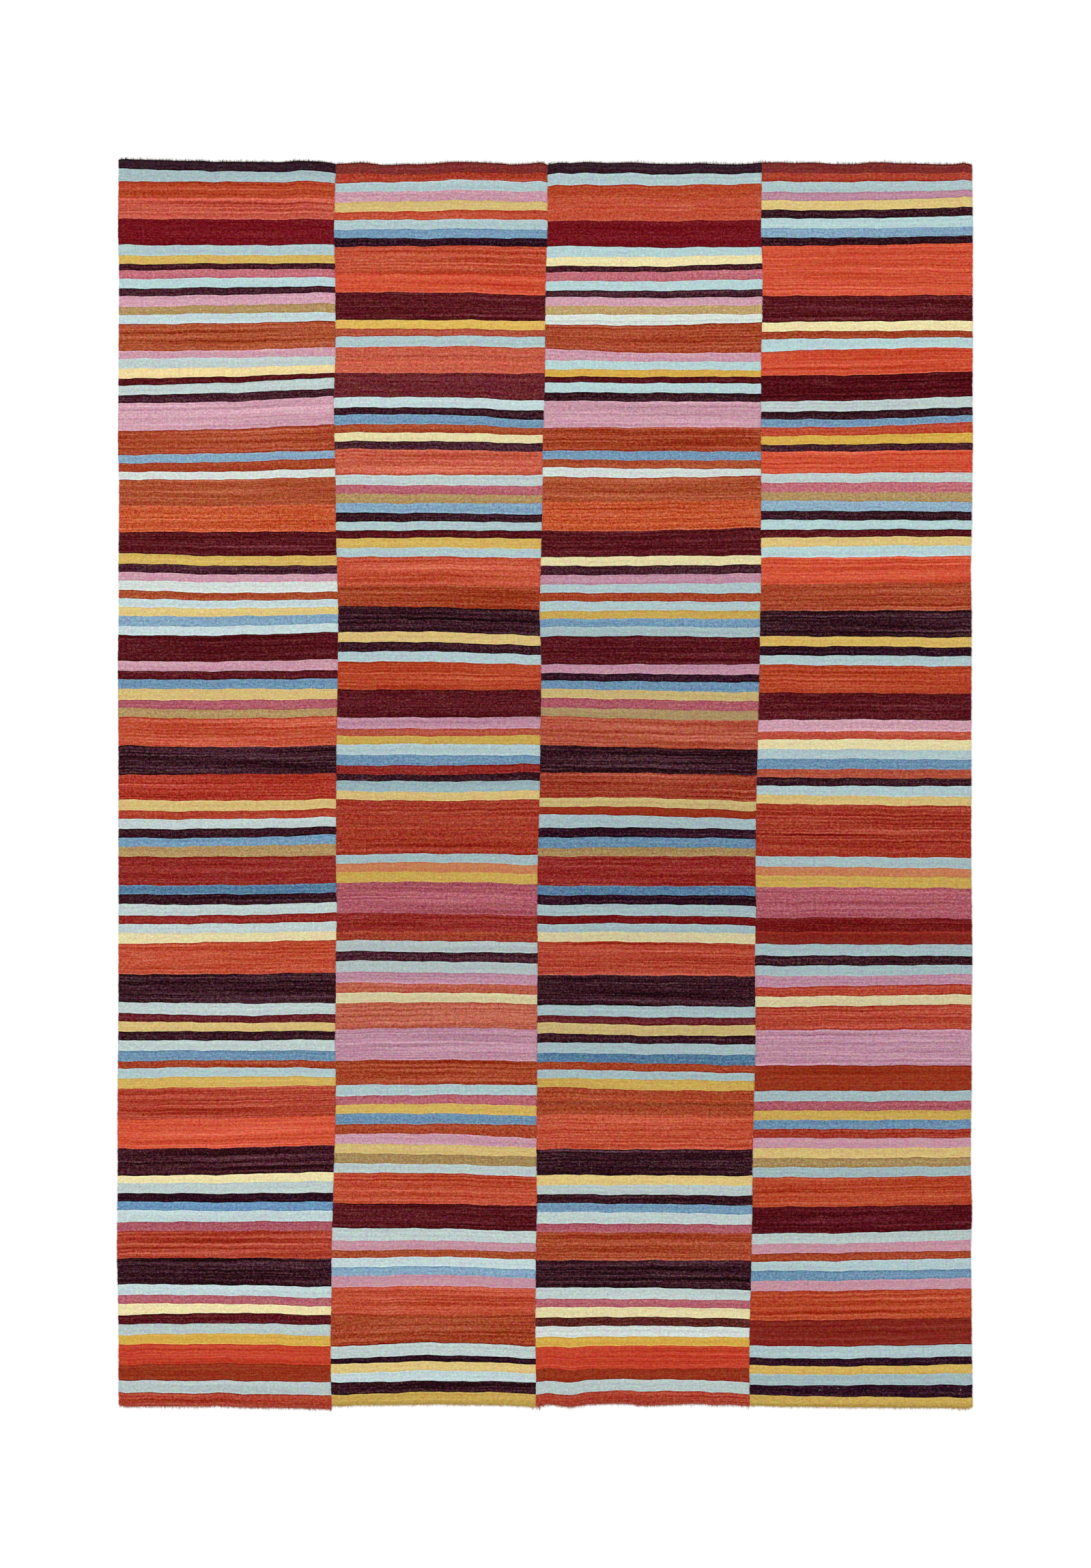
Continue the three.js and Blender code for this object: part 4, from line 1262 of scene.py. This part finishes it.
class EndHairs(Strands):
    """The hairs that stand out past one fell of a strip."""

    def __init__(self, plan, end):
        super().__init__()
        at_top = end == "top"
        self.plan = plan
        self.outline = plan.outline
        self.fell = plan.outline.top if at_top else plan.outline.bottom
        self.outward = 1 if at_top else -1
        self.fell_y = float(self.fell((plan.outline.left(0) + plan.outline.right(0)) / 2))
        self.left = float(plan.outline.left(self.fell_y))
        self.right = float(plan.outline.right(self.fell_y))
        self.draw = random.Random(HAIR_DRAW + 2 * plan.number + at_top)
        self.dyed = band_colour(plan.bands[0 if at_top else -1])
        self.plain = linear(WARP_WOOL) / LIGHT_ON_CLOTH
        self.share_plain = PLAIN_AT_TOP if at_top else PLAIN_AT_BOTTOM
        self.hairs_each = HAIRS_AT_TOP if at_top else HAIRS_AT_BOTTOM
        self.stub_tone = DARK_STUBS if at_top else SOFT_STUBS

    def held(self, x):
        """An X kept clear of the strip's two selvedges."""
        return min(max(x, self.left + CORD_RADIUS), self.right - CORD_RADIUS)

    def hair(self, x, length, lean, height, width, colour):
        """One hair that starts inside the cloth and sinks to the floor as it leans sideways."""
        x = self.held(x)
        y = float(self.fell(x))
        path = []
        for step in range(HAIR_STEPS + 1):
            part = step / HAIR_STEPS
            path.append((x + lean * part ** LEAN_CURVE,
                         y + self.outward * (length * part - ROOT_DEPTH * (1 - part)),
                         height + (HAIR_REST - height) * part ** SINK_CURVE))
        self.add(path, width, colour)

    def add_cut_ends(self):
        """A few thin hairs and one short thick stub for each warp."""
        draw = self.draw
        for warp in range(self.plan.warps):
            middle = float(self.outline.x_at((warp + 0.5) / self.plan.warps, self.fell_y))
            for _ in range(self.hairs_each):
                x = middle + draw.uniform(-HAIR_STRAY, HAIR_STRAY) * WARP_PITCH
                length = draw.uniform(*HAIR_LENGTH)
                lean = draw.uniform(-HAIR_LEAN, HAIR_LEAN) * length
                height = draw.uniform(*HAIR_HEIGHT) * THICKNESS
                if draw.random() < self.share_plain:
                    colour = self.plain * draw.uniform(*PLAIN_TONE)
                else:
                    colour = self.dyed * draw.uniform(*DYED_TONE)
                    colour += (self.plain - colour) * draw.uniform(0.0, MOST_FADED)
                self.hair(x, length, lean, height, draw.uniform(*HAIR_WIDTH), colour)
            x = middle + draw.uniform(-STUB_STRAY, STUB_STRAY) * WARP_PITCH
            colour = self.dyed * draw.uniform(*self.stub_tone)
            length = draw.uniform(*STUB_LENGTH)
            self.hair(x, length, 0.0, STUB_HEIGHT * THICKNESS, draw.uniform(*STUB_WIDTH), colour)

    def add_loose_hairs(self):
        draw = self.draw
        groups = [draw.uniform(self.left, self.right) for _ in range(GROUPS_OF_HAIRS)]
        for _ in range(LOOSE_HAIRS):
            x = draw.uniform(self.left, self.right)
            if draw.random() < SHARE_IN_GROUPS:
                x = draw.gauss(draw.choice(groups), GROUP_WIDTH)
            length = draw.uniform(*LOOSE_HAIR_LENGTH)
            colour = self.dyed * draw.uniform(*self.stub_tone)
            lean = draw.uniform(-LOOSE_HAIR_LEAN, LOOSE_HAIR_LEAN) * length
            self.hair(x, length, lean, STUB_HEIGHT * THICKNESS, LOOSE_HAIR_WIDTH, colour)

    def add_tuft(self, middle, reach):
        """A few hairs that lean together."""
        draw = self.draw
        for _ in range(TUFT_HAIRS):
            x = self.held(middle + draw.uniform(-1, 1) * TUFT_WIDTH / 2)
            lean = (middle - x) * draw.uniform(*TUFT_LEAN)
            length = reach * draw.uniform(*TUFT_LENGTH)
            height = draw.uniform(*TUFT_HEIGHT) * THICKNESS
            self.hair(x, length, lean, height, TUFT_HAIR_WIDTH, self.dyed * draw.uniform(*TUFT_TONE))


def warp_ends(plan, end, material):
    """All that stands out past one fell of a strip."""
    hairs = EndHairs(plan, end)
    hairs.add_cut_ends()
    hairs.add_loose_hairs()
    for name, tuft_end, at, reach in TUFTS:
        if (name, tuft_end) == (plan.name, end):
            hairs.add_tuft((at + CHART_SHIFT[0]) * MM, reach * MM)
    return hairs.piece(f"{plan.name}_{end}_warp_ends", plan.number, material)


# The sewing of the seams and the lint on the cloth.

def seam_stitches(left_plan, right_plan, material):
    """Short slanting stitches of dark thread in the valley between two strips' cords."""
    draw = random.Random(STITCH_DRAW + left_plan.number)
    top = min(left_plan.y[0, -1], right_plan.y[0, 0]) - STITCH_PITCH
    bottom = max(left_plan.y[-1, -1], right_plan.y[-1, 0]) + STITCH_PITCH
    thread = linear(YARNS["dark_aubergine"]) / LIGHT_ON_CLOTH
    stitches = Strands()
    for stitch in range(int((top - bottom) / STITCH_PITCH)):
        y = top - stitch * STITCH_PITCH + draw.uniform(-STITCH_STRAY, STITCH_STRAY)
        middle = float(left_plan.outline.right(y) + right_plan.outline.left(y)) / 2
        path = []
        for side in (-1, 0, 1):
            height = STITCH_HEIGHT if side else STITCH_HEIGHT - STITCH_SAG
            path.append((middle + side * STITCH_REACH, y + STITCH_SLANT * side * STITCH_REACH, height))
        stitches.add(path, STITCH_WIDTH, thread * draw.uniform(*STITCH_TONE))
    return stitches.piece(f"seam_{left_plan.number + 1}_stitches", CORD_SEED, material)


def lint_piece(material):
    """The few bits of loose fibre that lie on the face."""
    draw = random.Random(LINT_DRAW)
    lint = Strands()
    for x, y, length, turn, hairs, spread, yarn in LINT:
        scatter = LINT_SCATTER if hairs > 1 else 0
        for _ in range(hairs):
            angle = math.radians(turn + draw.uniform(-1, 1) * scatter)
            at_x = (x + CHART_SHIFT[0] + draw.uniform(-1, 1) * spread) * MM
            at_y = (y + CHART_SHIFT[1] + draw.uniform(-1, 1) * spread) * MM
            bow = draw.uniform(-LINT_BOW, LINT_BOW) * length * MM
            path = []
            for part in LINT_POINTS:
                along = part * length * MM
                aside = bow * (1 - 4 * part ** 2)
                path.append((at_x + along * math.cos(angle) - aside * math.sin(angle),
                             at_y + along * math.sin(angle) + aside * math.cos(angle),
                             THICKNESS - LINT_WIDTH / 2))
            lint.add(path, LINT_WIDTH, linear(YARNS[yarn]) * draw.uniform(*LINT_TONE))
    return lint.piece("wool_lint", CORD_SEED, material)


# The whole rug.

add_camera()
add_floor()
add_light()

weave = weave_group()
abrash_and_painted_light = abrash_and_painted_light_group()
woven_wool = wool_material("woven_wool", weave, abrash_and_painted_light, CLOTH_BUMP)
corded_wool = wool_material("corded_wool", weave, abrash_and_painted_light, CORD_BUMP)
cut_wool = wool_material("cut_wool", weave, abrash_and_painted_light, HAIR_BUMP)

plans = [StripPlan(number, strip) for number, strip in enumerate(STRIPS)]
for plan in plans:
    cloth = cloth_mesh(plan, woven_wool)
    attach(cloth, "root")
    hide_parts(plan.name)
    for side in ("left", "right"):
        cord = selvedge_cord(plan, side, corded_wool)
        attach(cord, "root")
    for end in ("top", "bottom"):
        ends = warp_ends(plan, end, cut_wool)
        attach(ends, "root")
        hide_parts(f"{plan.name}_{end}_ends")
    width = float(plan.outline.right(0) - plan.outline.left(0))
    length = float(plan.outline.top(plan.read_at[1]) - plan.outline.bottom(plan.read_at[1]))

loose = [seam_stitches(left, right, cut_wool) for left, right in zip(plans, plans[1:])]
for piece in loose + [lint_piece(cut_wool)]:
    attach(piece, "root")
